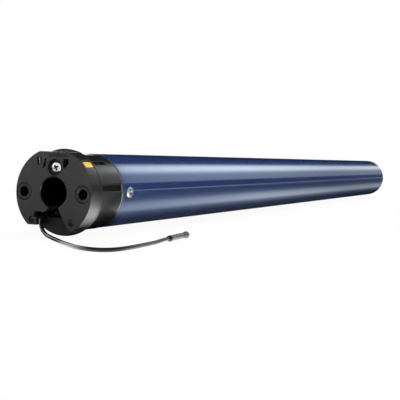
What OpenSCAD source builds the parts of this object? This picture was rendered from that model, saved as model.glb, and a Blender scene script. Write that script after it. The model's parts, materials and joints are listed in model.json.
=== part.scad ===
// Tubular roller blind motor, battery type, built as its separate pieces. All sizes are in mm.
// +X runs along the tube from the head's front face to the output end, +Z is up, and the origin is
// the centre of the head's front face. Seen from the front, +Y is on the left.
// The 45 mm tube, the 50 mm head, and the 39 mm hole spacing set the scale for everything else.

/* [Tube] */
// Outer diameter of the painted steel tube
tube_d = 45; // [44:0.5:46]
// Wall thickness of the tube
tube_wall = 1.2; // [1:0.1:1.4]
// Length of the tube
tube_len = 700; // [700:1:760]
// Distance from the head's front face to the tube's front end
tube_start = 40.9; // [40.9:0.1:42]
// Gap between the tube's bore and the parts that slide into it
slide_gap = 0.1; // [0.05:0.01:0.2]

/* [Head] */
// Diameter of the head and of its rear flange
head_d = 50.2; // [50:0.1:51]
// Depth of the head housing, from the front face to the rear flange
head_depth = 10.9; // [10.5:0.1:11.2]
// Thickness of the head's front plate
plate_t = 3.4; // [2.6:0.1:4]
// Thickness of the head's side wall
head_wall = 2.4; // [2:0.1:3]
// Height of the flat on top of the head above the axis
top_flat = 23.2; // [22.6:0.1:23.8]
// Diameter of the central hole that takes the bracket's pin
centre_hole_d = 17; // [16:0.1:18]
// Wall thickness of the central boss
centre_wall = 2.2; // [1.8:0.1:2.6]
// Chamfer round the mouth of the central hole
centre_chamfer = 0.8; // [0.4:0.1:1.2]
// Width of the neck between the central hole and the cable cut-out
neck_w = 6.6; // [5.6:0.1:7.4]
// Distance between the two fixing holes
fix_spacing = 39; // [38:0.1:40]
// Inner diameter of the fixing inserts
fix_bore = 5.2; // [5:0.1:5.4]
// Outer diameter of the fixing inserts
fix_insert_d = 8; // [7.6:0.1:8.4]
// Height of the top screw above the axis
top_screw_z = 14.3; // [14:0.1:14.6]

/* [Screws] */
// Head diameter of the silver pan-head screws
pan_head_d = 6.8; // [6.4:0.1:7]
// Head height of the silver pan-head screws
pan_head_h = 1.9; // [1.8:0.1:2.6]
// Shank diameter of the silver pan-head screws
pan_shank_d = 4; // [3.5:0.1:4]
// Head diameter of the small screws in the lower lobes
lobe_head_d = 3.5; // [3:0.1:3.6]
// Shank diameter of the small screws
lobe_shank_d = 2.2; // [1.8:0.1:2.4]

/* [Button] */
// Angle of the setting button above the horizontal
button_angle = 42; // [40:0.5:44]
// Width of the setting button round the head
button_w = 4; // [3.4:0.1:4.4]
// Length of the setting button along the head
button_len = 8.1; // [7:0.1:8.1]
// Distance that the button travels when it is pressed
button_travel = 1.2; // [0.8:0.1:1.2]
// Distance of the button's outer face from the head's axis
button_r = 24.9; // [24:0.1:25]

/* [Crown] */
// Outer diameter of the crown ring
crown_d = 45.4; // [44.8:0.1:46]
// Length of the crown ring
crown_len = 26; // [25:0.1:26]
// Radius of the journal that the crown ring turns on
journal_r = 19; // [18.6:0.1:19.2]
// Radial running clearance of every turning fit
run_gap = 0.05; // [0.02:0.01:0.08]
// Width of the main keyway in the crown ring
keyway_w = 3.8; // [3:0.1:4.4]
// Depth of the main keyway in the crown ring
keyway_depth = 1.6; // [1.2:0.1:2]
// Width of the narrow groove in the crown ring
groove_w = 2.6; // [2:0.1:3]

/* [Gears] */
// Tooth module of all the gears
gear_module = 0.8; // [0.8:0.01:0.8]
// Pressure angle of the gear teeth
pressure_angle = 25; // [25:0.5:25]
// Number of teeth on each sun gear
sun_teeth = 12; // [12:3:12]
// Number of teeth on each planet gear
planet_teeth = 15; // [15:3:15]
// Backlash between meshing teeth, along the pitch circle
backlash = 0.14; // [0.1:0.01:0.2]
// Diameter of the planet pins
pin_d = 3; // [2.6:0.1:3.2]
// Diameter of the drive shaft
shaft_d = 10; // [9.5:0.1:10.5]
// Depth of the flat on the drive shaft
shaft_flat = 0.8; // [0.5:0.1:1.2]
// Length of the drive shaft outside the end cap
shaft_out = 16; // [12:0.5:17]
// Number of teeth inside the crown ring
crown_teeth = 44; // [44:1:44]
// Number of teeth on the limit pinion
pinion_teeth = 12; // [12:1:12]

/* [Power] */
// Diameter of one battery cell
cell_d = 18.4; // [18:0.1:18.6]
// Length of one battery cell
cell_len = 65; // [64:0.5:66]
// Groups of three battery cells along the tube
cell_groups = 4; // [3:1:4]
// Outer diameter of the motor's steel can
can_d = 38; // [36:0.5:39]
// Length of the motor's steel can
can_len = 74; // [70:1:78]

/* [Pigtail] */
// Diameter of the pigtail lead
lead_d = 2.2; // [2:0.1:2.4]
// Diameter of the plug's body
plug_d = 3.3; // [3:0.1:3.5]
// Length of the plug
plug_len = 26; // [24:0.5:28]

/* [Hidden] */
$fn = 96;
head_r = head_d / 2;
tube_r = tube_d / 2;
bore_r = tube_r - tube_wall;
fit_r = bore_r - slide_gap;
tube_end = tube_start + tube_len;
flange_x = head_depth;
flange_t = 1.7;
crown_x = flange_x + flange_t + 0.3;
crown_end = crown_x + crown_len;
crown_r = crown_d / 2;
web_x = 18;
neck_r = 15.4;
neck_x = 31;
fix_y = fix_spacing / 2;
top_screw_y = -0.8;
lobe_right = [-12.4, -16.4];
lobe_left = [14, -15.8];
grommet_yz = [8.2, -12.8];
sun_pitch = gear_module * sun_teeth / 2;
planet_pitch = gear_module * planet_teeth / 2;
ring_teeth = sun_teeth + 2 * planet_teeth;
arm = sun_pitch + planet_pitch;
pinion_arm = gear_module * (crown_teeth - pinion_teeth) / 2;
pinion_angle = 24 * 360 / crown_teeth;
gearbox_len = 91;
gearbox_x = tube_end - gearbox_len;
end_play = 0.3;
planet_len = 10;
carrier_t = 3.2;
stage_pitch = planet_len + carrier_t + 0.8;
stage_x = [for (s = [0:2]) gearbox_x + 1 + s * stage_pitch];
planet_w = [planet_len, planet_len, planet_len + 2];
disc_t = [carrier_t, carrier_t, carrier_t + 2];
disc_r = arm + planet_pitch - 1.1;
cap_x = stage_x[2] + planet_w[2] + end_play + disc_t[2] + 0.7;
plate_len = 4;
can_end = gearbox_x - plate_len;
can_x = can_end - can_len;
can_wall = 1.4;
magnet_t = 3.95;
magnet_r = can_d / 2 - can_wall - 0.05;
rotor_r = magnet_r - magnet_t - 0.7;
rotor_shaft_r = 2.5;
motor_bearing_r = 5.5;
side_screw_len = 5.1;
shaft_journal_r = shaft_d / 2 + 1;
output_bearing_r = 10;
output_bearing_w = 7;
output_bearing_x = [cap_x + 6, tube_end - 4 - output_bearing_w];
bolt_r = 0.8;
bolt_circle = fit_r - 1.9;
cell_pitch = cell_len + 1.6;
tray_x = tube_start + 31.1;
tray_len = 116;
cells_x = tray_x + tray_len + 12;
holder_lip = 4;

// Places a flat (Y, Z) outline at x, so that extruding it goes along the tube
module face_at(x) translate([x, 0, 0]) rotate([90, 0, 90]) children();
// A rod along the tube's direction from x0 to x1
module rod(x0, x1, r, y = 0, z = 0) translate([x0, y, z]) rotate([0, 90, 0]) cylinder(h = x1 - x0, r = r);
// A plain ring along the axis
module sleeve(x0, x1, ro, ri) difference() { rod(x0, x1, ro); rod(x0 - 1, x1 + 1, ri); }
// A turned piece about the tube's axis, from points of [radius, x]
module turned(pts) rotate([0, 90, 0]) rotate_extrude() polygon(pts);
// A turned piece about a line parallel to the axis
module turned_at(y, z, pts) translate([0, y, z]) turned(pts);
// Turns to the given angle above the horizontal on the right-hand side, seen from the front
module at_angle(a) rotate([-a, 0, 0]) mirror([0, 1, 0]) children();

// Involute helpers, angles in degrees
function inv(a) = tan(a) * 180 / PI - a;
function half_angle(r, rp, s) =
  let (rb = rp * cos(pressure_angle), rr = max(r, rb))
  s / (2 * rp) * 180 / PI + inv(pressure_angle) - inv(acos(rb / rr));
function tooth(n, rin, rout, s, c) =
  let (rp = gear_module * n / 2, rs = [for (k = [0:3]) rin + (rout - rin) * k / 3])
  concat([for (r = rs) let (h = half_angle(r, rp, s)) [r * cos(c - h), r * sin(c - h)]],
         [for (k = [3:-1:0]) let (r = rs[k], h = half_angle(r, rp, s)) [r * cos(c + h), r * sin(c + h)]]);
module gear_outline(n, rin, rout, s)
  polygon([for (i = [0:n - 1]) each tooth(n, rin, rout, s, i * 360 / n)]);
tooth_s = PI * gear_module / 2 - backlash / 2;
space_s = PI * gear_module / 2 + backlash / 2;
module outer_gear(n, add = 0.85)
  gear_outline(n, gear_module * (n / 2 - 1.15), gear_module * (n / 2 + add), tooth_s);
module inner_space(n) gear_outline(n, gear_module * (n / 2 - 0.75), gear_module * (n / 2 + 1.1), space_s);

// The head's outline seen from the front, with the keyhole and the cable cut-out
module head_outline() difference() {
  circle(r = head_r);
  translate([-30, top_flat]) square([60, 10]);
  circle(r = centre_hole_d / 2);
  difference() {
    polygon([[neck_w / 2, -6], [-neck_w / 2, -6], [-neck_w / 2 - 0.4, -9.1], [-5.2, -11.6],
      [-5.4, -12.6], [-6.2, -13.2], [-7.6, -16], [-9.6, -19.4], [-12.4, -18.1], [-14.2, -20.75],
      [-18, -27], [-18, -30], [12.8, -30], [14, -26], [18, -19], [18, -18.7], [10.8, -18.7],
      [10.8, -14.6], [12.4, -13.9], [12.4, -11.2], [8.6, -11], [6.4, -11.2], [4.6, -10.6],
      [neck_w / 2, -9]]);
    translate([-12.4, -18.1]) circle(r = 3.1);
  }
}
module head_housing() color([0.055, 0.055, 0.055]) difference() {
  union() {
    difference() {
      face_at(0) linear_extrude(head_depth) head_outline();
      face_at(plate_t) linear_extrude(20) difference() {
        intersection() {
          circle(r = head_r - head_wall);
          translate([-30, -30]) square([60, 30 + top_flat - head_wall]);
        }
        circle(r = centre_hole_d / 2 + centre_wall);
        for (s = [-1, 1]) translate([s * fix_y, 0]) circle(r = 6);
        translate([top_screw_y, top_screw_z]) circle(r = 6.2);
        translate(lobe_right) circle(r = 3);
        translate(lobe_left) circle(r = 2.9);
        for (a = [20, 60, 125, 160, -160, -28]) rotate(a) translate([5, -0.7]) square([22, 1.4]);
        rotate(180 - button_angle) translate([16.6, -6.4]) square([12, 12.8]);
      }
    }
  }
  turned([[0, -1], [centre_hole_d / 2 + centre_chamfer + 1, -1], [centre_hole_d / 2, centre_chamfer],
    [0, centre_chamfer]]);
  for (s = [-1, 1]) {
    rod(-1, head_depth + 1, fix_insert_d / 2, s * fix_y, 0);
    translate([0, s * fix_y, 0]) difference() { rod(-1, 0.7, 5); rod(-2, 2, 4.6); }
  }
  rod(-1, 2.8, 4.7, top_screw_y, top_screw_z);
  rod(-1, head_depth + 1, pan_shank_d / 2 + 0.05, top_screw_y, top_screw_z);
  for (p = [lobe_right, lobe_left]) {
    rod(-1, 1.4, lobe_head_d / 2 + 0.15, p[0], p[1]);
    rod(-1, head_depth + 1, lobe_shank_d / 2 + 0.05, p[0], p[1]);
  }
  face_at(-1) linear_extrude(6.5)
    polygon([[-6.2, 19.2], [-9.7, 19.2], [-9.7, 16.6], [-7.1, 13.6], [-6.2, 14.6]]);
  face_at(-1) linear_extrude(5) polygon([[5.2, 19.4], [6, 19.4], [7.4, 14.2], [6.6, 13.6], [5.3, 15.6]]);
  face_at(-1) linear_extrude(5.5) polygon([[8.5, 19.8], [11.3, 19.8], [11, 15.6], [8.2, 15.6]]);
  face_at(-1) linear_extrude(head_depth + 2) polygon([[3.2, 20.8], [-9.8, 20.8], [-9.8, 26], [3.2, 26]]);
  at_angle(button_angle) {
    translate([2.2, 21.2 - button_travel, -button_w / 2 - 0.3]) cube([20, 8, button_w + 1.2]);
    translate([3.3, 12, -1.45]) cube([button_len - 1.6, 12, 2.9]);
  }
}
module fixing_inserts() color([0.16, 0.16, 0.17]) for (s = [-1, 1]) turned_at(s * fix_y, 0,
  [[fix_bore / 2, 0], [fix_insert_d / 2, 0], [fix_insert_d / 2, head_depth],
   [fix_bore / 2, head_depth]]);
module clamp_cover() color([0.1, 0.1, 0.1]) difference() {
  union() {
    face_at(0) linear_extrude(head_depth) translate([-9.7, 20.9]) square([12.8, top_flat - 20.9]);
    face_at(3.6) linear_extrude(6) translate([-8, 18.4]) square([1.4, 3]);
  }
  face_at(-1) linear_extrude(1.5) translate([-9, 21.5]) square([11.4, 0.5]);
}
module pan_screw(len, h = pan_head_h) {
  difference() {
    turned([[0, 0], [pan_shank_d / 2 - 0.6, 0], [pan_shank_d / 2, 0.6], [pan_shank_d / 2, len],
      [pan_head_d / 2, len], [pan_head_d / 2, len + h * 0.45],
      [pan_head_d / 2 - 0.7, len + h * 0.85], [pan_head_d / 4, len + h], [0, len + h]]);
    for (a = [0, 90]) rotate([a, 0, 0]) translate([len + h - 1.1, -2, -0.45]) cube([3, 4, 0.9]);
    translate([len + h - 1.6, 0, 0]) rotate([0, 90, 0]) cylinder(h = 3, r1 = 0.6, r2 = 1.6);
  }
}
module clamp_screw() color([0.75, 0.75, 0.74]) translate([2.8, top_screw_y, top_screw_z]) mirror([1, 0, 0])
  translate([-head_depth - 4 + 2.8, 0, 0]) rotate([28, 0, 0]) pan_screw(head_depth + 4 - 2.8);
module clamp_strip() color([0.55, 0.55, 0.54]) face_at(0.3) linear_extrude(2.2)
  polygon([[9.4, 19.6], [10.1, 19.6], [9.9, 15.8], [9.2, 15.8]]);
module lobe_screws() color([0.06, 0.06, 0.06]) for (p = [lobe_right, lobe_left]) difference() {
  turned_at(p[0], p[1], [[0, 0.6], [lobe_head_d / 2 - 0.3, 0.6], [lobe_head_d / 2, 0.9],
    [lobe_head_d / 2, 1.4], [lobe_shank_d / 2, 1.4], [lobe_shank_d / 2, head_depth + 1.2],
    [0, head_depth + 1.2]]);
  translate([0, p[0], p[1]]) for (a = [20, 110]) rotate([a, 0, 0])
    translate([-1, -1, -0.2]) cube([2, 2, 0.4]);
}
module setting_button() color([0.95, 0.7, 0.1]) at_angle(button_angle) {
  translate([2.5, 21.4, -button_w / 2]) cube([button_len, button_r - 21.4, button_w]);
  translate([3.6, 17.4, -1.2]) cube([button_len - 2.2, 4.1, 2.4]);
}
module button_switch() color([0.12, 0.12, 0.13]) at_angle(button_angle) union() {
  translate([3.8, 12.6, -1.9]) cube([6, 2, 3.8]);
  translate([6.8, 14.6, 0]) rotate([-90, 0, 0]) cylinder(h = 2.5 - button_travel, r = 1);
}

// The hub that carries the crown ring and closes the head at the back
module bearing_hub() color([0.05, 0.05, 0.05]) difference() {
  union() {
    turned([[0, flange_x], [head_r - 0.5, flange_x], [head_r, flange_x + 0.4],
      [head_r, flange_x + flange_t], [journal_r, flange_x + flange_t],
      [journal_r, neck_x], [neck_r, neck_x], [neck_r, tube_start],
      [0, tube_start]]);
  }
  face_at(flange_x - 1) linear_extrude(web_x - flange_x + 1) intersection() {
    circle(r = 17.4);
    translate([-30, -14.9]) square(60);
  }
  rod(web_x - 1, tube_start + 1, 7.4);
  rod(web_x + 1.8, 29, 17);
  rod(28, tube_start - 2.4, neck_r - 2);
  rod(web_x - 1, web_x + 3, 1.7, grommet_yz[0], grommet_yz[1]);
  rod(flange_x - 1, web_x + 4, pan_shank_d / 2 + 0.05, top_screw_y, top_screw_z);
  for (p = [lobe_right, lobe_left]) rod(flange_x - 1, flange_x + 1.4, lobe_shank_d / 2 + 0.05, p[0], p[1]);
  rotate([pinion_angle, 0, 0]) {
    rod(neck_x, tube_start - 1.9, 6, pinion_arm, 0);
    rod(neck_x - 3, tube_start + 1, 1.25, pinion_arm, 0);
  }
  for (a = [40, 100, 320]) rotate([a, 0, 0]) rod(tube_start - 2.4, tube_start + 1, 1.25, 11.6, 0);
}
module cable_grommet() color([0.03, 0.03, 0.03])
  turned_at(grommet_yz[0], grommet_yz[1], [[0, web_x - 0.5], [lead_d / 2 + 0.08, web_x - 0.5],
    [lead_d / 2 + 0.08, web_x - 5.5], [1.4, web_x - 5.5], [1.75, web_x - 1.2], [2, web_x - 1],
    [2, web_x], [1.7, web_x], [1.7, web_x + 1.8], [0, web_x + 1.8]]);

// The pigtail lead, swept along its route on the surface below the motor
route = [[web_x - 0.5, 8.2, -12.8], [15, 8.2, -12.8], [12.5, 8.2, -12.8], [10, 8.2, -13],
  [7, 8.2, -13.2], [4, 8.1, -13.5], [1.4, 7.8, -14.2], [-0.6, 7.2, -15.8], [-2, 6.1, -18.2],
  [-3.5, 3.9, -20.7], [-5.6, 0.2, -22.9], [-10, -6.5, -23.9], [-18, -15.6, -24],
  [-26.2, -24.4, -24], [-33, -33, -24], [-37.6, -39.6, -24], [-40.6, -45.4, -24], [-42, -51, -24],
  [-41.4, -55.4, -24], [-39, -58.8, -24], [-34.8, -61.2, -24], [-28.6, -62.3, -24],
  [-19, -62.5, -24], [-7.1, -62, -24], [6.2, -61.2, -24], [14, -60.8, -23.8], [20, -60.5, -23.5],
  [25.5, -60.3, -23.38]];
plug_at = [25.5, -60.3, -23.38];
plug_turn = 2.2;
plug_lift = 0.8;
function mix(p, i, t) = let (a = p[max(i - 1, 0)], b = p[i], c = p[i + 1], d = p[min(i + 2, len(p) - 1)])
  0.5 * (2 * b + (c - a) * t + (2 * a - 5 * b + 4 * c - d) * t * t + (3 * b - a - 3 * c + d) * t * t * t);
function curve(p, n) =
  concat([for (i = [0:len(p) - 2]) for (k = [0:n - 1]) mix(p, i, k / n)], [p[len(p) - 1]]);
function unit(v) = v / norm(v);
function tangents(p) = [for (i = [0:len(p) - 1])
  i == 0 ? [-1, 0, 0] : i == len(p) - 1 ?
  unit([cos(plug_turn), sin(plug_turn), tan(plug_lift)]) : unit(p[i + 1] - p[i - 1])];
module swept(p, r, sides) {
  t = tangents(p);
  n = [for (i = 0, v = [0, 0, 1]; i < len(t);
    i = i + 1, v = i < len(t) ? unit(v - (v * t[i]) * t[i]) : v) v];
  pts = [for (i = [0:len(p) - 1]) for (k = [0:sides - 1])
    let (a = (k + 0.5) * 360 / sides, b = cross(t[i], n[i]), rv = r / cos(180 / sides) * 0.98)
      p[i] + rv * (cos(a) * n[i] + sin(a) * b)];
  m = len(p);
  polyhedron(pts, concat([[for (k = [0:sides - 1]) k]],
    [for (i = [0:m - 2]) for (k = [0:sides - 1]) let (q = (k + 1) % sides)
      [i * sides + k, (i + 1) * sides + k, (i + 1) * sides + q, i * sides + q]],
    [[for (k = [sides - 1:-1:0]) (m - 1) * sides + k]]));
}
module pigtail_lead() color([0.03, 0.03, 0.03]) swept(curve(route, 2), lead_d / 2, 8);
module on_plug() translate(plug_at) rotate([0, -plug_lift, plug_turn]) children();
module plug_boot() color([0.03, 0.03, 0.03]) on_plug()
  turned([[0, 0], [1.3, 0], [1.7, 0.8], [1.7, 3.4], [0, 3.4]]);
module plug_body() color([0.12, 0.12, 0.12]) on_plug()
  turned([[0, 3.4], [plug_d / 2, 3.4], [plug_d / 2, plug_len - 3], [0, plug_len - 3]]);
module plug_tip() color([0.05, 0.05, 0.05]) on_plug()
  turned([[0, plug_len - 3], [plug_d / 2, plug_len - 3], [plug_d / 2, plug_len - 1.8],
    [2.05, plug_len - 1], [2.05, plug_len], [1.1, plug_len], [1.1, plug_len - 2.2],
    [0, plug_len - 2.2]]);

module crown_ring() color([0.07, 0.07, 0.075]) difference() {
  turned([[journal_r + run_gap, crown_x], [crown_r - 0.5, crown_x], [crown_r, crown_x + 0.5],
    [crown_r, crown_end - 0.5], [crown_r - 0.5, crown_end], [neck_r + 0.6, crown_end],
    [neck_r + 0.6, crown_end - 1], [14.4, crown_end - 1], [14.4, neck_x + 0.6],
    [journal_r + run_gap, neck_x + 0.6]]);
  face_at(neck_x) linear_extrude(crown_end - neck_x - 1.4) inner_space(crown_teeth);
  rod(crown_end - 1.6, crown_end + 1, neck_r + 0.6);
  for (a = [0, 180]) rotate([a, 0, 0]) {
    at_angle(8) translate([crown_x + 4, crown_r - keyway_depth, -keyway_w / 2])
      cube([crown_len, 5, keyway_w]);
    at_angle(50) translate([crown_x + 2, crown_r - 1.2, -groove_w / 2]) cube([16, 5, groove_w]);
  }
}
module retaining_ring() color([0.72, 0.72, 0.72])
  turned([[neck_r + 0.02, crown_end + 0.3], [tube_r - 0.7, crown_end + 0.3],
    [tube_r - 0.2, crown_end + 0.8],
    [tube_r - 0.2, tube_start], [neck_r + 0.02, tube_start]]);
module limit_pinion() color([0.85, 0.84, 0.8])
  rotate([pinion_angle, 0, 0]) translate([0, pinion_arm, 0]) difference() {
    union() {
      face_at(neck_x + 1.4) linear_extrude(5) outer_gear(pinion_teeth, 0.7);
      rod(neck_x + 0.4, neck_x + 7.2, 2.4);
    }
    rod(neck_x - 1, neck_x + 9, 1.25 + run_gap);
  }
module pinion_axle() color([0.7, 0.7, 0.7]) rotate([pinion_angle, 0, 0])
  rod(neck_x - 2, tube_start + 3, 1.25, pinion_arm, 0);
module tube_spigot() color([0.06, 0.06, 0.06]) difference() {
  turned([[0, tube_start], [fit_r - 0.4, tube_start], [fit_r, tube_start + 0.6],
    [fit_r, tube_start + 22], [fit_r - 1, tube_start + 23], [fit_r - 2.6, tube_start + 23],
    [fit_r - 2.6, tube_start + 4], [0, tube_start + 4]]);
  rod(tube_start - 1, tube_start + 5, 7.4);
  rotate([pinion_angle, 0, 0]) rod(tube_start - 1, tube_start + 5, 1.25, pinion_arm, 0);
  for (a = [40, 100, 320]) rotate([a, 0, 0]) rod(tube_start - 1, tube_start + 5, 1.25, 11.6, 0);
  for (a = [0, 180]) rotate([a, 0, 0]) translate([tube_start + 8, 0, 0]) rotate([-90, 0, 0])
    cylinder(h = 40, r = pan_shank_d / 2 + 0.02);
}
module spigot_screws() color([0.7, 0.7, 0.7]) for (a = [40, 100, 320]) rotate([a, 0, 0])
  turned_at(11.6, 0, [[0, tube_start - 2.4], [1.25, tube_start - 2.4], [1.25, tube_start + 4],
    [2.4, tube_start + 4], [2.4, tube_start + 5.4], [0, tube_start + 5.4]]);
module encoder_board() color([0.05, 0.25, 0.12]) difference() {
  rod(tube_start + 9, tube_start + 10.6, fit_r - 2.8);
  rod(tube_start + 8, tube_start + 12, 6);
  for (a = [0, 180]) rotate([a, 0, 0]) translate([tube_start + 5, 15.4, -4]) cube([8, 8, 8]);
}

module motor_tube() color([0.03, 0.07, 0.22]) difference() {
  turned([[bore_r, tube_start], [tube_r - 0.3, tube_start], [tube_r, tube_start + 0.3],
    [tube_r, tube_end - 0.3], [tube_r - 0.3, tube_end], [bore_r, tube_end]]);
  for (a = [0, 180]) rotate([a, 0, 0]) translate([tube_start + 8, 15, 0]) rotate([-90, 0, 0])
    cylinder(h = 20, r = pan_head_d / 2 + 0.35);
  for (a = [-25, 25]) rotate([a, 0, 0]) translate([cap_x + 26, 15, 0]) rotate([-90, 0, 0])
    cylinder(h = 20, r = pan_head_d / 2 + 0.35);
}
// A screw that sits in a hole of the tube's wall, with a low head that an adapter ring slides over
module side_screw(x, a) rotate([a, 0, 0]) translate([x, fit_r, 0]) rotate([0, 0, 90])
  translate([-side_screw_len, 0, 0]) rotate([18, 0, 0]) pan_screw(side_screw_len, tube_r + 0.2 - fit_r);
module tube_screws() color([0.75, 0.75, 0.74]) for (a = [0, 180]) side_screw(tube_start + 8, a);

module board_tray() color([0.06, 0.06, 0.06]) difference() {
  rod(tray_x, tray_x + tray_len, fit_r);
  difference() {
    rod(tray_x + 3, tray_x + tray_len - 3, fit_r - 1.6);
    translate([tray_x, -fit_r, -9]) cube([tray_len, 2 * fit_r, 1.6]);
  }
  translate([tray_x + 8, -fit_r - 1, -4]) cube([tray_len - 16, 2 * fit_r + 2, 2 * fit_r]);
  rod(tray_x - 1, tray_x + tray_len + 1, 5, 0, 6);
}
module control_board() color([0.04, 0.22, 0.1])
  translate([tray_x + 10, -15, -7.3]) cube([tray_len - 20, 30, 1.6]);
module board_chips() color([0.04, 0.04, 0.05])
  for (p = [[0.255, -8, 12, 12, 1.8], [0.41, 2, 8, 6, 1.6], [0.54, -11, 10, 8, 2.4], [0.64, 3, 6, 5, 1.4]])
    translate([tray_x + p[0] * tray_len, p[1], -5.7]) cube([p[2], p[3], p[4]]);
module board_capacitors() color([0.1, 0.12, 0.3]) for (p = [[32, -8], [20, -8], [26, 8]])
  translate([tray_x + tray_len - p[0], p[1], -5.7]) cylinder(h = 13, r = 4);
module radio_coil() color([0.72, 0.42, 0.2])
  translate([tray_x + 16, 9.4, -3.3]) rotate([0, 90, 0]) cylinder(h = 9, r = 2.4);
module terminal_block() color([0.85, 0.85, 0.8]) difference() {
  translate([tray_x + 12, -14, -5.7]) cube([9, 12, 8]);
  for (k = [-11, -5]) translate([tray_x + 16.5, k, -2]) cylinder(h = 8, r = 1.6);
}
module battery_cells() color([0.1, 0.35, 0.5])
  for (g = [0:cell_groups - 1]) for (a = [90, 210, 330])
    rotate([a, 0, 0]) translate([cells_x + g * cell_pitch, 0, 0])
      turned_at(0, cell_d / sqrt(3) + 0.05, [[0, 0], [cell_d / 2 - 0.5, 0], [cell_d / 2, 0.5],
        [cell_d / 2, cell_len - 0.5], [cell_d / 2 - 0.5, cell_len], [0, cell_len]]);
module cell_holders() color([0.07, 0.07, 0.07]) for (g = [0:cell_groups]) difference() {
  x = cells_x - 1.4 + g * cell_pitch;
  rod(g == 0 ? x - holder_lip : x, x + 1.2 + (g == cell_groups ? holder_lip : 0), fit_r);
  rod(x - 8, x + 8, 4);
}
module motor_isolator() color([0.03, 0.03, 0.03])
  sleeve(can_x - 12, can_x - 3.2, fit_r, can_d / 2 - 4);

module motor_can() color([0.6, 0.6, 0.6]) difference() {
  turned([[0, can_x + 4], [can_d / 2 - 1, can_x + 4], [can_d / 2, can_x + 5],
    [can_d / 2, can_end], [0, can_end]]);
  rod(can_x + 3, can_end - 2, can_d / 2 - can_wall);
  rod(can_end - 3, can_end + 1, motor_bearing_r);
}
module motor_magnets() color([0.1, 0.1, 0.1]) for (a = [0, 180]) rotate([a, 0, 0]) intersection() {
  sleeve(can_x + 20, can_end - 12, magnet_r, magnet_r - magnet_t);
  translate([can_x, -can_d, 4]) cube([can_len, 2 * can_d, can_d]);
}
module motor_end_bell() color([0.08, 0.08, 0.08]) difference() {
  union() {
    rod(can_x, can_x + 3.9, can_d / 2);
    rod(can_x + 3.9, can_x + 8, magnet_r);
  }
  rod(can_x - 1, can_x + 9, motor_bearing_r);
  for (s = [-1, 1]) translate([can_x + 6, s * 8.2 - 2.1, -2.6]) cube([4, 4.2, 5.2]);
}
module motor_brushes() color([0.2, 0.2, 0.2]) for (s = [-1, 1])
  translate([can_x + 6, s * 8.2 - 2, -2.5]) cube([9, 4, 5]);
module motor_bearings() color([0.65, 0.65, 0.66]) for (x = [can_x + 0.6, can_end - 1.9])
  sleeve(x, x + (x > can_end - 5 ? 1.8 : 5), motor_bearing_r - 0.02, rotor_shaft_r + run_gap);
module rotor_shaft() color([0.7, 0.7, 0.7]) union() {
  rod(can_x - 1, stage_x[0] - 0.3, rotor_shaft_r);
  face_at(stage_x[0] - 0.4) linear_extrude(planet_w[0] + 0.2) outer_gear(sun_teeth);
}
module rotor_core() color([0.3, 0.22, 0.16]) difference() {
  union() {
    for (a = [0:60:300]) rotate([a, 0, 0]) {
      translate([can_x + 24, 0, -1.6]) cube([can_len - 40, rotor_r - 1.5, 3.2]);
      intersection() {
        sleeve(can_x + 24, can_end - 16, rotor_r, rotor_r - 2);
        translate([can_x, 0, -5.4]) cube([can_len, can_d, 10.8]);
      }
    }
    rod(can_x + 22, can_end - 14, 6);
  }
  rod(can_x, can_end, rotor_shaft_r + 0.02);
}
module commutator() color([0.75, 0.45, 0.25]) difference() {
  rod(can_x + 10, can_x + 20, 6.1);
  rod(can_x, can_end, rotor_shaft_r + 0.02);
  for (a = [0:60:300]) rotate([a, 0, 0]) translate([can_x + 9, 4.8, -0.25]) cube([12, 3, 0.5]);
}

// The three planetary stages
module planet(s, a) rotate([a, 0, 0]) translate([0, arm, 0]) difference() {
  face_at(stage_x[s]) linear_extrude(planet_w[s]) outer_gear(planet_teeth);
  rod(stage_x[s] - 1, stage_x[s] + 20, pin_d / 2 + run_gap);
}
module planet_1a() color([0.62, 0.62, 0.62]) planet(0, 0);
module planet_1b() color([0.62, 0.62, 0.62]) planet(0, 120);
module planet_1c() color([0.62, 0.62, 0.62]) planet(0, 240);
module planet_2a() color([0.62, 0.62, 0.62]) planet(1, 0);
module planet_2b() color([0.62, 0.62, 0.62]) planet(1, 120);
module planet_2c() color([0.62, 0.62, 0.62]) planet(1, 240);
module planet_3a() color([0.62, 0.62, 0.62]) planet(2, 0);
module planet_3b() color([0.62, 0.62, 0.62]) planet(2, 120);
module planet_3c() color([0.62, 0.62, 0.62]) planet(2, 240);
function disc_x(s) = stage_x[s] + planet_w[s] + end_play;
module pin_holes(s) for (a = [0, 120, 240]) rotate([a, 0, 0])
  rod(disc_x(s) - 1, disc_x(s) + 9, pin_d / 2, arm, 0);
module carrier(s) difference() {
  union() {
    rod(disc_x(s), disc_x(s) + disc_t[s], disc_r);
    face_at(disc_x(s) + disc_t[s] - 0.1) linear_extrude(planet_w[s + 1] + 0.4) outer_gear(sun_teeth);
  }
  pin_holes(s);
}
module carrier_1() color([0.5, 0.5, 0.5]) carrier(0);
module carrier_2() color([0.5, 0.5, 0.5]) carrier(1);
module pins(s) for (a = [0, 120, 240]) rotate([a, 0, 0])
  rod(stage_x[s], disc_x(s) + disc_t[s], pin_d / 2, arm, 0);
module planet_pins_1() color([0.7, 0.7, 0.7]) pins(0);
module planet_pins_2() color([0.7, 0.7, 0.7]) pins(1);
module planet_pins_3() color([0.7, 0.7, 0.7]) pins(2);
module output_shaft() color([0.68, 0.68, 0.68]) difference() {
  union() {
    rod(disc_x(2), disc_x(2) + disc_t[2], disc_r);
    turned([[0, disc_x(2)], [shaft_journal_r, disc_x(2)], [shaft_journal_r, tube_end + 0.8],
      [shaft_d / 2, tube_end + 0.8], [shaft_d / 2, tube_end + shaft_out - 0.8],
      [shaft_d / 2 - 0.8, tube_end + shaft_out], [0, tube_end + shaft_out]]);
  }
  pin_holes(2);
  translate([tube_end + 0.8, -shaft_d, shaft_d / 2 - shaft_flat])
    cube([shaft_out + 1, 2 * shaft_d, shaft_d]);
}
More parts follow.
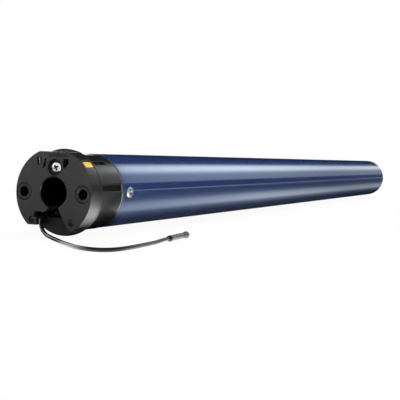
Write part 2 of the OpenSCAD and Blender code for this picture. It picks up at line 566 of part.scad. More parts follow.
// The four long bolts that hold the gearbox together, or the holes that they pass through
module bolts(x0, x1) for (a = [45, 135, 225, 315]) rotate([a, 0, 0]) rod(x0, x1, bolt_r, bolt_circle, 0);
module ring_gear() color([0.58, 0.58, 0.57]) difference() {
  rod(gearbox_x, cap_x, fit_r);
  face_at(gearbox_x - 1) linear_extrude(cap_x - gearbox_x + 2) inner_space(ring_teeth);
  bolts(gearbox_x - 1, cap_x + 1);
}
module gearbox_plate() color([0.55, 0.55, 0.55]) difference() {
  rod(can_end + 0.02, gearbox_x, fit_r);
  rod(can_end - 1, gearbox_x + 1, 4);
  bolts(can_end - 1, gearbox_x + 1);
}
module end_cap() color([0.52, 0.52, 0.52]) difference() {
  turned([[0, cap_x], [fit_r, cap_x], [fit_r, tube_end], [fit_r - 0.8, tube_end + 0.8],
    [0, tube_end + 0.8]]);
  rod(cap_x - 1, tube_end + 2, shaft_journal_r + 0.6);
  for (x = output_bearing_x) rod(x, x + output_bearing_w, output_bearing_r);
  bolts(cap_x - 1, cap_x + 5);
  for (a = [-25, 25]) rotate([a, 0, 0]) translate([cap_x + 26, 12, 0]) rotate([-90, 0, 0])
    cylinder(h = 20, r = pan_shank_d / 2 + 0.02);
}
module output_bearings() color([0.66, 0.66, 0.67]) for (x = output_bearing_x)
  sleeve(x, x + output_bearing_w, output_bearing_r, shaft_journal_r + run_gap);
module gearbox_screws() color([0.3, 0.3, 0.3]) {
  bolts(can_end + 0.02, cap_x + 5);
  for (a = [-25, 25]) side_screw(cap_x + 26, a);
}

head_housing();
fixing_inserts();
clamp_cover();
clamp_screw();
clamp_strip();
lobe_screws();
setting_button();
button_switch();
bearing_hub();
cable_grommet();
pigtail_lead();
plug_boot();
plug_body();
plug_tip();
crown_ring();
retaining_ring();
limit_pinion();
pinion_axle();
tube_spigot();
spigot_screws();
encoder_board();
motor_tube();
tube_screws();
board_tray();
control_board();
board_chips();
board_capacitors();
radio_coil();
terminal_block();
battery_cells();
cell_holders();
motor_isolator();
motor_can();
motor_magnets();
motor_end_bell();
motor_brushes();
motor_bearings();
rotor_shaft();
rotor_core();
commutator();
gearbox_plate();
ring_gear();
planet_1a();
planet_1b();
planet_1c();
planet_2a();
planet_2b();
planet_2c();
planet_3a();
planet_3b();
planet_3c();
carrier_1();
carrier_2();
output_shaft();
planet_pins_1();
planet_pins_2();
planet_pins_3();
end_cap();
output_bearings();
gearbox_screws();
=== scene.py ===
"""The looks of a tubular roller blind motor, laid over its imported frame.

Every sub-assembly of the motor is a class. Its sizes are dataclass fields in metres, in the
same frame as the solids: +X along the tube from the head's front face, +Z up, and +Y on the
left of somebody who faces the head. Outlines and routes are listed in millimetres.
"""

from __future__ import annotations

import json
import logging
import math
from dataclasses import dataclass
from enum import Enum
from typing import Callable, Iterable, Mapping, Sequence

import bmesh
import bpy
from mathutils import Matrix, Vector

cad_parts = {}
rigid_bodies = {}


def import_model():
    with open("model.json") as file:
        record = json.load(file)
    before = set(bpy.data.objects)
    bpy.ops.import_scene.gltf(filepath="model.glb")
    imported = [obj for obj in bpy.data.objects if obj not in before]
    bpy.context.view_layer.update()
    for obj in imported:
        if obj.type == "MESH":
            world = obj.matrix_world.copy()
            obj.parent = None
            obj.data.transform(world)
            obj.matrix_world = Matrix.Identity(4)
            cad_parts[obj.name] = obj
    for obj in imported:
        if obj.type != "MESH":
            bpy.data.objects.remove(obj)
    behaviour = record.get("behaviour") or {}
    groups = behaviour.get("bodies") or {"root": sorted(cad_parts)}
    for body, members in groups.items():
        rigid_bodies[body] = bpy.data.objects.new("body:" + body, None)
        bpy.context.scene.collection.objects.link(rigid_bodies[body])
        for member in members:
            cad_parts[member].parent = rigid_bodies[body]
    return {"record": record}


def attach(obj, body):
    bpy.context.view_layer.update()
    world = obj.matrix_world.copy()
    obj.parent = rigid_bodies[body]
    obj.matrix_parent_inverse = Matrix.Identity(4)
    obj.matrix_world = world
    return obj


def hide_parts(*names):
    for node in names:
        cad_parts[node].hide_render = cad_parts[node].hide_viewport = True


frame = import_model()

LOG = logging.getLogger("blind_motor")
MM = 0.001
FIXED_BODY = "motor_body"
SHARP = 32.0
WHITE = (1.0, 1.0, 1.0)
NOISE_LOW, NOISE_HIGH = 0.3, 0.7

Point = tuple[float, float, float]
Pair = tuple[float, float]
Colour = tuple[float, float, float]
Row = tuple[float, tuple[float, ...]]
Socket = bpy.types.NodeSocket
Inputs = Mapping[str | int, object]
Test = Callable[[Vector], bool]


class Slot(str, Enum):
    """The material slots that the record names."""

    HEAD = "head_black"
    CROWN = "crown_black"
    INSERT = "insert_black"
    SILVER_SCREW = "screw_silver"
    BLACK_SCREW = "screw_black"
    BUTTON = "button_yellow"
    TUBE = "tube_blue"
    RING = "ring_steel"
    LEAD = "lead_black"
    PLUG = "plug_black"
    BOARD = "board_green"
    CHIP = "chip_black"
    CAPACITOR = "can_blue"
    CELL = "cell_teal"
    COPPER = "copper"
    BLOCK = "block_cream"
    STEEL = "steel"
    MAGNET = "magnet"
    CARBON = "carbon"
    ALLOY = "alloy"
    RUBBER = "rubber_black"
    NYLON = "nylon_white"


class Tree:
    """A node tree, with short calls that add nodes and fill in their inputs."""

    def __init__(self, tree: bpy.types.NodeTree) -> None:
        """Takes a tree over."""
        self.tree = tree

    def fill(self, node: bpy.types.Node, inputs: Inputs) -> None:
        """Gives a node its inputs.

        Args:
            node: The node.
            inputs: A plain value, or an output to join, under each input's name or number.
        """
        for key, value in inputs.items():
            if isinstance(value, Socket):
                self.tree.links.new(value, node.inputs[key])
            else:
                node.inputs[key].default_value = value

    def node(self, kind: str, inputs: Inputs | None = None, **settings: object) -> bpy.types.Node:
        """Adds a node.

        Args:
            kind: The node's type name.
            inputs: Its inputs, as for fill.
            **settings: Its properties, which are set before the inputs.

        Returns:
            The new node.
        """
        made = self.tree.nodes.new(kind)
        for key, value in settings.items():
            setattr(made, key, value)
        self.fill(made, inputs or {})
        return made

    def maths(self, operation: str, first: Socket, second: Socket | float) -> Socket:
        """Works out one value from two."""
        return self.node("ShaderNodeMath", {0: first, 1: second}, operation=operation).outputs[0]

    def show(self, end: str, share: Socket, first: bpy.types.Node, second: bpy.types.Node) -> None:
        """Ends the tree in two shaders, mixed.

        Args:
            end: The name of the tree's last node.
            share: The second shader's share.
            first: The first shader.
            second: The second shader.
        """
        mix = self.node("ShaderNodeMixShader", {0: share, 1: first.outputs[0], 2: second.outputs[0]})
        self.fill(self.tree.nodes[end], {"Surface": mix.outputs[0]})


class Graph(Tree):
    """One material's node tree, with the patterns that the finishes share."""

    def __init__(self, name: str) -> None:
        """Opens a material that holds one Principled shader."""
        self.material = bpy.data.materials.new(name)
        self.material.use_nodes = True
        super().__init__(self.material.node_tree)
        self.shader = self.tree.nodes["Principled BSDF"]
        self.place = self.node("ShaderNodeTexCoord").outputs["Object"]

    def feed(self, inputs: Inputs) -> None:
        """Fills in inputs of the shader itself."""
        self.fill(self.shader, inputs)

    def noise(
        self, scale: float, detail: float = 2.0, stretch: Point = (1.0, 1.0, 1.0), seed: float = 0.0
    ) -> Socket:
        """Adds a noise texture.

        Args:
            scale: Features per metre.
            detail: Octaves.
            stretch: Scale along each axis before the noise.
            seed: A shift that keeps two layers of noise apart.

        Returns:
            The noise's value output.
        """
        place = self.node("ShaderNodeMapping", {"Scale": stretch, "Vector": self.place}).outputs["Vector"]
        inputs = {"Scale": scale, "Detail": detail, "W": seed, "Vector": place}
        return self.node("ShaderNodeTexNoise", inputs, noise_dimensions="4D").outputs["Fac"]

    def between(
        self, value: Socket, low: float, high: float, start: float = NOISE_LOW, end: float = NOISE_HIGH
    ) -> Socket:
        """Maps a value's range from start to end onto low to high."""
        inputs = {"Value": value, "From Min": start, "From Max": end, "To Min": low, "To Max": high}
        return self.node("ShaderNodeMapRange", inputs).outputs["Result"]

    def tint(self, value: Socket, dark: Colour, light: Colour) -> Socket:
        """Turns a value into a colour.

        Args:
            value: The value.
            dark: The colour at the low end of a noise.
            light: The colour at its high end.

        Returns:
            The colour.
        """
        ramp = self.node("ShaderNodeValToRGB", {"Fac": value})
        for index, place, colour in ((0, NOISE_LOW, dark), (1, NOISE_HIGH, light)):
            step = ramp.color_ramp.elements[index]
            step.position, step.color = place, (*colour, 1.0)
        return ramp.outputs["Color"]

    def blended(self, share: Socket, first: Socket, second: Colour) -> Socket:
        """Mixes a colour towards a plain second colour by a share."""
        inputs = {"Factor": share, "A": first, "B": (*second, 1.0)}
        return self.node("ShaderNodeMix", inputs, data_type="RGBA").outputs["Result"]

    def bump(
        self, height: Socket, depth: float, under: Socket | None = None, strength: float = 1.0
    ) -> Socket:
        """Adds a bump.

        Args:
            height: The height's value, from 0 to 1.
            depth: The height's depth in metres.
            under: The normal of a coarser bump below this one.
            strength: How much of the bump shows.

        Returns:
            The bumped normal.
        """
        inputs = {"Strength": strength, "Distance": depth, "Height": height}
        if under is not None:
            inputs["Normal"] = under
        return self.node("ShaderNodeBump", inputs).outputs["Normal"]

    def radial(self) -> Socket:
        """Gives the distance from the tube's axis."""
        across = self.node("ShaderNodeVectorMath", {0: self.place, 1: (0.0, 1.0, 1.0)}, operation="MULTIPLY")
        return self.node("ShaderNodeVectorMath", {0: across.outputs[0]}, operation="LENGTH").outputs["Value"]

    def rim(self) -> Socket:
        """Gives a value that rises from 0 to 1 where the surface bends outwards."""
        return self.between(self.node("ShaderNodeNewGeometry").outputs["Pointiness"], 0.0, 1.0, 0.52, 0.62)


@dataclass(frozen=True)
class Finish:
    """A surface's colour and gloss, kept under its slot in the record."""

    slot: Slot
    colour: Colour
    roughness: float = 0.5
    metallic: float = 0.0
    specular: float = 0.5

    def constants(self, graph: Graph) -> None:
        """Sets what is the same all over, on the shader's own inputs."""
        graph.feed({"Metallic": self.metallic})

    def shade(self, tone: float) -> Colour:
        """Gives the finish's colour times a tone."""
        return tuple(min(1.0, part * tone) for part in self.colour)

    def clouds(
        self, graph: Graph, scale: float, detail: float, dark: float, light: float, seed: float = 0.0
    ) -> Socket:
        """Gives the finish's colour in clouds, from a darker to a lighter tone."""
        return graph.tint(graph.noise(scale, detail, seed=seed), self.shade(dark), self.shade(light))

    def paint(self, graph: Graph, colour: Socket) -> None:
        """Feeds the colour in, with painted shade where a piece is marked as recessed so that light hardly
        enters: the colour darkens there and the reflection fades.

        Args:
            graph: The material's graph.
            colour: The colour.
        """
        # Painted shade: the marked share blends the colour towards near black and takes the reflection away.
        painted_shade_share = graph.node("ShaderNodeAttribute", attribute_name="painted_recess_shade").outputs["Fac"]
        graph.feed({
            "Base Color": graph.blended(painted_shade_share, colour, self.shade(0.03)),
            "Specular IOR Level": graph.between(painted_shade_share, self.specular, 0.0, 0.0, 1.0),
        })

    def weave(self, graph: Graph) -> None:
        """Adds the finish's own pattern. Each kind of finish has its own."""
        raise NotImplementedError

    def gloss(self, graph: Graph, scale: float, swing: float, seed: float = 2.0) -> Socket:
        """Gives a roughness that wanders a little.

        Args:
            graph: The material's graph.
            scale: Features per metre.
            swing: How far the roughness strays from the finish's own.
            seed: A shift that keeps this layer apart from the others.

        Returns:
            The roughness.
        """
        wander = graph.noise(scale, 3.0, seed=seed)
        return graph.between(wander, self.roughness - swing, self.roughness + swing)

    def material(self) -> bpy.types.Material:
        """Builds the material.

        Returns:
            The material, named after the slot.
        """
        graph = Graph(f"{self.slot.value}_finish")
        self.constants(graph)
        self.weave(graph)
        return graph.material


@dataclass(frozen=True)
class MouldedPlastic(Finish):
    """Injection-moulded plastic with the fine skin that a spark-eroded tool leaves."""

    skin: float = 0.012 * MM
    grain: float = 3200.0
    worn: float = 1.5

    def weave(self, graph: Graph) -> None:
        """Adds a cloudy colour, rubbed edges, a fine skin and a faint flow in the gloss."""
        cloud = self.clouds(graph, 120.0, 4.0, 0.9, 1.12)
        self.paint(graph, graph.blended(graph.rim(), cloud, self.shade(self.worn)))
        coarse = graph.bump(graph.noise(420.0, 2.0, seed=5.0), self.skin * 1.5, strength=0.5)
        fine = graph.bump(graph.noise(self.grain, 2.0, seed=7.0), self.skin, under=coarse)
        graph.feed({"Roughness": self.gloss(graph, 70.0, 0.05, seed=3.0), "Normal": fine})


@dataclass(frozen=True)
class RimmedPlastic(MouldedPlastic):
    """Moulded plastic whose outer rim and middle hole come smoother out of the tool."""

    hole_radius: float = 9.02 * MM
    rim_radius: float = 24.75 * MM
    rim_roughness: float = 0.2
    rim_width: float = 0.1 * MM
    hole_width: float = 0.01 * MM

    def gloss(self, graph: Graph, scale: float, swing: float, seed: float = 2.0) -> Socket:
        """Lets the roughness wander, and lowers it on the rim and round the hole."""
        rough = super().gloss(graph, scale, swing, seed)
        outer = graph.between(graph.radial(), 0.0, 1.0, self.rim_radius, self.rim_radius + self.rim_width)
        inner = graph.between(graph.radial(), 1.0, 0.0, self.hole_radius - self.hole_width, self.hole_radius)
        inputs = {"Factor": graph.maths("MAXIMUM", outer, inner), "A": rough, "B": self.rim_roughness}
        return graph.node("ShaderNodeMix", inputs, data_type="FLOAT").outputs["Result"]


@dataclass(frozen=True)
class GlossPaint(Finish):
    """Metallic paint under a clear coat, over the faint draw lines of a rolled tube."""

    flake: float = 0.04
    coat: float = 1.0
    coat_roughness: float = 0.05
    coat_ior: float = 1.5

    def constants(self, graph: Graph) -> None:
        """Sets the clear coat."""
        super().constants(graph)
        graph.feed({"Coat Weight": self.coat, "Coat Roughness": self.coat_roughness, "Coat IOR": self.coat_ior})

    def weave(self, graph: Graph) -> None:
        """Adds flakes to the colour and draw lines under the coat."""
        self.paint(graph, self.clouds(graph, 9000.0, 1.0, 1.0 - self.flake, 1.0 + self.flake, seed=1.0))
        drawn = graph.bump(graph.noise(700.0, 2.0, stretch=(0.004, 1.0, 1.0), seed=6.0), 0.00005 * MM)
        graph.feed({"Roughness": self.gloss(graph, 60.0, 0.01, seed=4.0), "Normal": drawn})


@dataclass(frozen=True)
class TurnedMetal(Finish):
    """Metal with the fine rings that a lathe tool leaves round the axis."""

    metallic: float = 1.0
    rings: float = 5200.0
    ring_depth: float = 0.003 * MM

    def weave(self, graph: Graph) -> None:
        """Adds rings round the axis, clouds and a mottled gloss."""
        self.paint(graph, self.clouds(graph, 160.0, 4.0, 0.88, 1.08))
        inputs = {"Scale": self.rings, "Detail": 2.0, "W": graph.radial()}
        waves = graph.node("ShaderNodeTexNoise", inputs, noise_dimensions="1D")
        along = graph.noise(self.rings, 2.0, stretch=(1.0, 0.002, 0.002), seed=8.0)
        first = graph.bump(waves.outputs["Fac"], self.ring_depth)
        normal = graph.bump(along, self.ring_depth, under=first)
        graph.feed({"Roughness": self.gloss(graph, 600.0, 0.06), "Normal": normal})


@dataclass(frozen=True)
class PlatedMetal(Finish):
    """Bright plate with a soft mottle and hairline scratches."""

    metallic: float = 1.0

    def weave(self, graph: Graph) -> None:
        """Adds a mottle to the gloss and scratches to the surface."""
        self.paint(graph, self.clouds(graph, 1400.0, 4.0, 0.9, 1.05))
        scratch = graph.noise(2600.0, 1.0, stretch=(0.08, 1.0, 0.35), seed=5.0)
        normal = graph.bump(scratch, 0.004 * MM, strength=0.6)
        graph.feed({"Roughness": self.gloss(graph, 900.0, 0.06, seed=3.0), "Normal": normal})


@dataclass(frozen=True)
class Rubber(Finish):
    """Soft black jacket or rubber with a faint bloom."""

    sheen: float = 0.01
    sheen_roughness: float = 0.4

    def constants(self, graph: Graph) -> None:
        """Sets the soft sheen of a plasticised jacket."""
        super().constants(graph)
        graph.feed({"Sheen Weight": self.sheen, "Sheen Roughness": self.sheen_roughness})

    def weave(self, graph: Graph) -> None:
        """Adds the bloom and fine draw lines."""
        self.paint(graph, self.clouds(graph, 300.0, 4.0, 0.8, 1.25))
        normal = graph.bump(graph.noise(3800.0, 2.0, seed=9.0), 0.006 * MM, strength=0.7)
        graph.feed({"Roughness": self.gloss(graph, 700.0, 0.07, seed=1.0), "Normal": normal})


FINISHES: tuple[Finish, ...] = (
    RimmedPlastic(Slot.HEAD, (0.015, 0.0155, 0.015), 0.46, specular=0.42),
    MouldedPlastic(Slot.CROWN, (0.014, 0.0138, 0.0138), 0.2, skin=0.003 * MM),
    TurnedMetal(Slot.INSERT, (0.03, 0.03, 0.031), 0.4, metallic=0.5),
    PlatedMetal(Slot.SILVER_SCREW, (0.8, 0.8, 0.79), 0.2),
    PlatedMetal(Slot.BLACK_SCREW, (0.04, 0.04, 0.042), 0.36, metallic=0.6),
    MouldedPlastic(Slot.BUTTON, (0.88, 0.6, 0.075), 0.36, skin=0.003 * MM, worn=1.05),
    GlossPaint(Slot.TUBE, (0.045, 0.088, 0.27), 0.26, metallic=0.5, specular=0.0),
    TurnedMetal(Slot.RING, (0.22, 0.22, 0.22), 0.22),
    Rubber(Slot.LEAD, (0.004, 0.004, 0.004), 0.16, specular=0.3),
    MouldedPlastic(Slot.PLUG, (0.07, 0.07, 0.071), 0.34, skin=0.004 * MM),
    MouldedPlastic(Slot.BOARD, (0.02, 0.16, 0.06), 0.32, skin=0.003 * MM),
    MouldedPlastic(Slot.CHIP, (0.02, 0.02, 0.021), 0.55, grain=6000.0),
    PlatedMetal(Slot.CAPACITOR, (0.06, 0.1, 0.3), 0.3, metallic=0.4),
    PlatedMetal(Slot.CELL, (0.05, 0.28, 0.38), 0.32, metallic=0.2),
    TurnedMetal(Slot.COPPER, (0.62, 0.3, 0.15), 0.3),
    MouldedPlastic(Slot.BLOCK, (0.72, 0.7, 0.62), 0.5, worn=1.05),
    TurnedMetal(Slot.STEEL, (0.52, 0.52, 0.53), 0.3),
    MouldedPlastic(Slot.MAGNET, (0.05, 0.05, 0.052), 0.6, metallic=0.3),
    MouldedPlastic(Slot.CARBON, (0.04, 0.04, 0.04), 0.7),
    TurnedMetal(Slot.ALLOY, (0.5, 0.5, 0.51), 0.4),
    Rubber(Slot.RUBBER, (0.012, 0.012, 0.012), 0.55),
    MouldedPlastic(Slot.NYLON, (0.74, 0.72, 0.66), 0.42, worn=1.05),
)


class Wardrobe:
    """Holds each slot's material and puts it on the pieces."""

    def __init__(self, finishes: Iterable[Finish]) -> None:
        """Builds every finish's material once."""
        self.materials = {finish.slot: finish.material() for finish in finishes}

    def dress_nodes(self) -> None:
        """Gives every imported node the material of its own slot."""
        for entry in frame["record"]["subparts"]:
            node = bpy.data.objects[entry["node"]]
            for place in node.material_slots:
                place.material = self.materials[Slot(entry["material_slot"])]

    def fit(self, piece: bpy.types.Object, slot: Slot, node: str = "", body: str = FIXED_BODY) -> None:
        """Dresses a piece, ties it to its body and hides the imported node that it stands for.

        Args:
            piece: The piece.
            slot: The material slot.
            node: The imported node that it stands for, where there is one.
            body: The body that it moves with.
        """
        piece.data.materials.clear()
        piece.data.materials.append(self.materials[slot])
        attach(piece, body)
        if node:
            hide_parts(node)
        LOG.info("%s rides on %s", piece.name, body)

    def soften(
        self, node: str, name: str, slot: Slot, width: float, body: str = FIXED_BODY, **how: object
    ) -> None:
        """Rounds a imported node's edges and fits the outcome in its place.

        Args:
            node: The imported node.
            name: The piece's name.
            slot: The material slot.
            width: The rounding's width.
            body: The body that it moves with.
            **how: More about the rounding, as for Shape.rounded.
        """
        self.fit(from_node(node).rounded(width, **how).piece(name), slot, node, body)


def smooth_but_sharp(data: bpy.types.Mesh, angle: float = SHARP) -> None:
    """Shades a mesh smooth, and keeps edges sharp that turn by more than an angle in degrees."""
    data.shade_smooth()
    data.set_sharp_from_angle(angle=math.radians(angle))


def around(x: float, radius: float, angle: float, centre: Pair = (0.0, 0.0)) -> Vector:
    """Gives a point on a circle about a line along +X, by its angle from +Y in radians."""
    return Vector((x, centre[0] + radius * math.cos(angle), centre[1] + radius * math.sin(angle)))


def turns_of(count: int) -> list[float]:
    """Gives evenly spaced angles of a full turn, in radians."""
    return [2 * math.pi * step / count for step in range(count)]


def in_mm(outline: Iterable[Pair], start: float = 0.0) -> list[Pair]:
    """Turns an outline in millimetres into metres, moved along by a start in millimetres."""
    return [((start + x) * MM, radius * MM) for x, radius in outline]


class Shape:
    """Points and faces on the way to becoming one piece."""

    def __init__(self) -> None:
        """Starts with an empty mesh."""
        self.mesh = bmesh.new()

    def ring(self, x: float, radius: float, turns: int, at: Point) -> list[bmesh.types.BMVert]:
        """Adds one ring of points about a line along +X, or one point where the radius is 0."""
        angles = turns_of(turns) if radius > 1e-9 else [0.0]
        return [self.mesh.verts.new(around(at[0] + x, radius, angle, at[1:])) for angle in angles]

    def lathe(self, profile: Sequence[Pair], turns: int = 96, at: Point = (0.0, 0.0, 0.0)) -> Shape:
        """Turns a closed or axis-to-axis outline about a line along +X.

        Args:
            profile: Points of (x, radius) in metres. A radius of 0 is a point on the axis. An
                outline with no point on the axis is closed into a ring.
            turns: Segments round the axis.
            at: A point that the axis passes through, added to every point.

        Returns:
            The shape itself.
        """
        rings = [self.ring(x, radius, turns, at) for x, radius in profile]
        pairs = list(zip(rings, rings[1:]))
        if len(rings[0]) > 1:
            pairs.append((rings[-1], rings[0]))
        for first, second in pairs:
            self.skin(first, second, turns)
        return self

    def skin(self, first: list, second: list, turns: int) -> None:
        """Joins two rings, either of which may be a single point."""
        for step in range(turns):
            after = (step + 1) % turns
            corners = ((first, step), (first, after), (second, after), (second, step))
            unique = list(dict.fromkeys(ring[index % len(ring)] for ring, index in corners))
            if len(unique) > 2:
                self.mesh.faces.new(unique)

    def grid(self, rows: Sequence[Sequence[Vector]], closed: bool = True, capped: bool = False) -> Shape:
        """Skins rows of points, each row joined to the next.

        Args:
            rows: Rows with the same number of points.
            closed: True where each row's last point joins its first.
            capped: True where the first and last rows are filled.

        Returns:
            The shape itself.
        """
        made = [[self.mesh.verts.new(point) for point in row] for row in rows]
        count = len(made[0])
        for first, second in zip(made, made[1:]):
            for step in range(count if closed else count - 1):
                after = (step + 1) % count
                self.mesh.faces.new((first[step], first[after], second[after], second[step]))
        if capped:
            self.mesh.faces.new(made[0][::-1])
            self.mesh.faces.new(made[-1])
        return self

    def loop(self, points: Sequence[Vector], radius: float, sides: int = 6) -> Shape:
        """Runs a round wire through points and back to the first.

        Args:
            points: The points of the closed path.
            radius: The wire's radius.
            sides: Sides round the wire.

        Returns:
            The shape itself.
        """
        rings = []
        middle = sum(points, Vector()) / len(points)
        for step, point in enumerate(points):
            ahead = (points[(step + 1) % len(points)] - points[step - 1]).normalized()
            out = ((point - middle) - (point - middle).dot(ahead) * ahead).normalized()
            side = ahead.cross(out)
            rings.append([
                self.mesh.verts.new(point + radius * (math.cos(a) * out + math.sin(a) * side))
                for a in turns_of(sides)
            ])
        for first, second in zip(rings, rings[1:] + rings[:1]):
            self.skin(first, second, sides)
        return self

    def box(self, low: Point, high: Point) -> Shape:
        """Adds a box between two corners."""
        size = Vector(high) - Vector(low)
        centre = (Vector(high) + Vector(low)) / 2
        for vert in bmesh.ops.create_cube(self.mesh, size=1.0)["verts"]:
            vert.co = Vector(part * length for part, length in zip(vert.co, size)) + centre
        return self

    def moved(self, matrix: Matrix) -> Shape:
        """Moves all the points."""
        self.mesh.transform(matrix)
        return self

    def rounded(
        self, width: float, steps: int = 2, angle: float = 35.0, where: Test = lambda point: True
    ) -> Shape:
        """Rounds the edges that turn by more than an angle.

        Args:
            width: The rounding's width in metres.
            steps: Segments across the rounding.
            angle: The least turn, in degrees, that counts as an edge.
            where: Says for a point whether edges there are rounded. Both ends must be in.

        Returns:
            The shape itself.
        """
        limit = math.radians(angle)
        turning = [e for e in self.mesh.edges if e.is_manifold and e.calc_face_angle(0.0) > limit]
        edges = [edge for edge in turning if all(where(vert.co) for vert in edge.verts)]
        bmesh.ops.bevel(
            self.mesh, geom=edges, offset=width, segments=steps, profile=0.5, affect="EDGES",
            clamp_overlap=False, miter_outer="ARC",
        )
        return self

    def piece(self, name: str, smooth: float = SHARP) -> bpy.types.Object:
        """Makes the object.

        Args:
            name: The piece's name.
            smooth: Edges that turn by more than this angle, in degrees, stay sharp.

        Returns:
            The object, linked to the scene.
        """
        bmesh.ops.remove_doubles(self.mesh, verts=self.mesh.verts, dist=1e-7)
        bmesh.ops.recalc_face_normals(self.mesh, faces=self.mesh.faces)
        data = bpy.data.meshes.new(name)
        self.mesh.to_mesh(data)
        self.mesh.free()
        smooth_but_sharp(data, smooth)
        made = bpy.data.objects.new(name, data)
        bpy.context.scene.collection.objects.link(made)
        return made


def from_node(node: str) -> Shape:
    """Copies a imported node's form into a new shape, with its flat faces made whole.

    Args:
        node: The node's name.

    Returns:
        The shape.
    """
    shape = Shape()
    mesh = shape.mesh
    mesh.from_mesh(bpy.data.objects[node].data)
    bmesh.ops.remove_doubles(mesh, verts=mesh.verts, dist=2e-6)
    flat = math.radians(0.4)
    bmesh.ops.dissolve_limit(
        mesh, angle_limit=flat, verts=mesh.verts, edges=mesh.edges, use_dissolve_boundaries=False
    )
    return shape


def cut(piece: bpy.types.Object, tool: bpy.types.Object) -> None:
    """Takes a tool's form out of a piece and deletes the tool.

    Args:
        piece: The piece that is cut.
        tool: The form that is taken away.
    """
    step = piece.modifiers.new("cut", "BOOLEAN")
    step.operation, step.solver, step.object = "DIFFERENCE", "EXACT", tool
    graph = bpy.context.evaluated_depsgraph_get()
    result = bpy.data.meshes.new_from_object(piece.evaluated_get(graph))
    piece.modifiers.remove(step)
    old, piece.data = piece.data, result
    bpy.data.meshes.remove(old)
    bpy.data.objects.remove(tool)
    smooth_but_sharp(result)


def even_shading(piece: bpy.types.Object, reach: float = 50.0) -> bpy.types.Object:
    """Leans the shading towards the large faces, so that walls stay even beside rounded edges.

    Args:
        piece: The piece.
        reach: Faces that turn by less than this angle, in degrees, shade into each other.

    Returns:
        The piece.
    """
    faces = piece.data.polygons
    limit = math.cos(math.radians(reach))
    around_point: list[list[int]] = [[] for _ in piece.data.vertices]
    for face in faces:
        for corner in face.vertices:
            around_point[corner].append(face.index)
    heavy = [face.normal * face.area for face in faces]
    normals = []
    for face in faces:
        own = face.normal
        for corner in face.vertices:
            near = (heavy[other] for other in around_point[corner] if own.dot(faces[other].normal) > limit)
            normals.append(tuple(sum(near, Vector()).normalized()))
    piece.data.normals_split_custom_set(normals)
    return piece


def joined(name: str, parts: Sequence[bpy.types.Object]) -> bpy.types.Object:
    """Puts several objects into one piece, where they stand, and deletes them.

    Args:
        name: The new piece's name.
        parts: The objects.

    Returns:
        The piece.
    """
    shape = Shape()
    for part in parts:
        copy = part.data.copy()
        copy.transform(part.matrix_basis)
        shape.mesh.from_mesh(copy)
        bpy.data.meshes.remove(copy)
        bpy.data.objects.remove(part)
    return shape.piece(name)


def painted_recess_shade(piece: bpy.types.Object, dark: float, where: Test) -> None:
    """Marks the recessed faces of a piece, for the painted shade that the finishes darken them with.

    Args:
        piece: The piece.
        dark: How dark the painted shade makes them, from 0 to 1.
        where: Says for a face's centre whether it is recessed and takes the painted shade.
    """
    painted_shade_values = piece.data.attributes.new("painted_recess_shade", "FLOAT", "FACE")
    values = [dark if where(face.center) else 0.0 for face in piece.data.polygons]
    painted_shade_values.data.foreach_set("value", values)


def facing(origin: Point, direction: Point, roll: float = 0.0) -> Matrix:
    """Gives the matrix that turns +X onto a direction and moves the origin.

    Args:
        origin: Where the local origin goes.
        direction: Where local +X points.
        roll: A turn about that direction, in degrees.

    Returns:
        The matrix.
    """
    ahead = Vector(direction).normalized()
    turn = Vector((1.0, 0.0, 0.0)).rotation_difference(ahead).to_matrix().to_4x4()
    return Matrix.Translation(Vector(origin)) @ turn @ Matrix.Rotation(math.radians(roll), 4, "X")


def off_axis(point: Vector) -> float:
    """Gives a point's distance from the tube's axis."""
    return math.hypot(point.y, point.z)


def arc(centre: Pair, radius: float, start: float, end: float, steps: int = 4) -> list[Pair]:
    """Gives points of an outline along an arc.

    Args:
        centre: The arc's centre, as (x, radius).
        radius: The arc's own radius.
        start: The first angle in degrees, from +x towards larger radii.
        end: The last angle in degrees.
        steps: Segments.

    Returns:
        The points, both ends included.
    """
    angles = (math.radians(start + (end - start) * step / steps) for step in range(steps + 1))
    return [(centre[0] + radius * math.cos(a), centre[1] + radius * math.sin(a)) for a in angles]


def groove(
    start: float, radius: float, slope: float, floor: float, depth: float, rise: float = 0.0
) -> list[Pair]:
    """Gives the outline of one groove round a turned piece.

    Args:
        start: Where it begins.
        radius: The piece's radius there.
        slope: The length of each flank.
        floor: The length of its floor.
        depth: Its depth.
        rise: How much larger the radius is after it.

    Returns:
        Its four points.
    """
    low, end = radius - depth, start + slope + floor
    return [(start, radius), (start + slope, low), (end, low), (end + slope, radius + rise)]


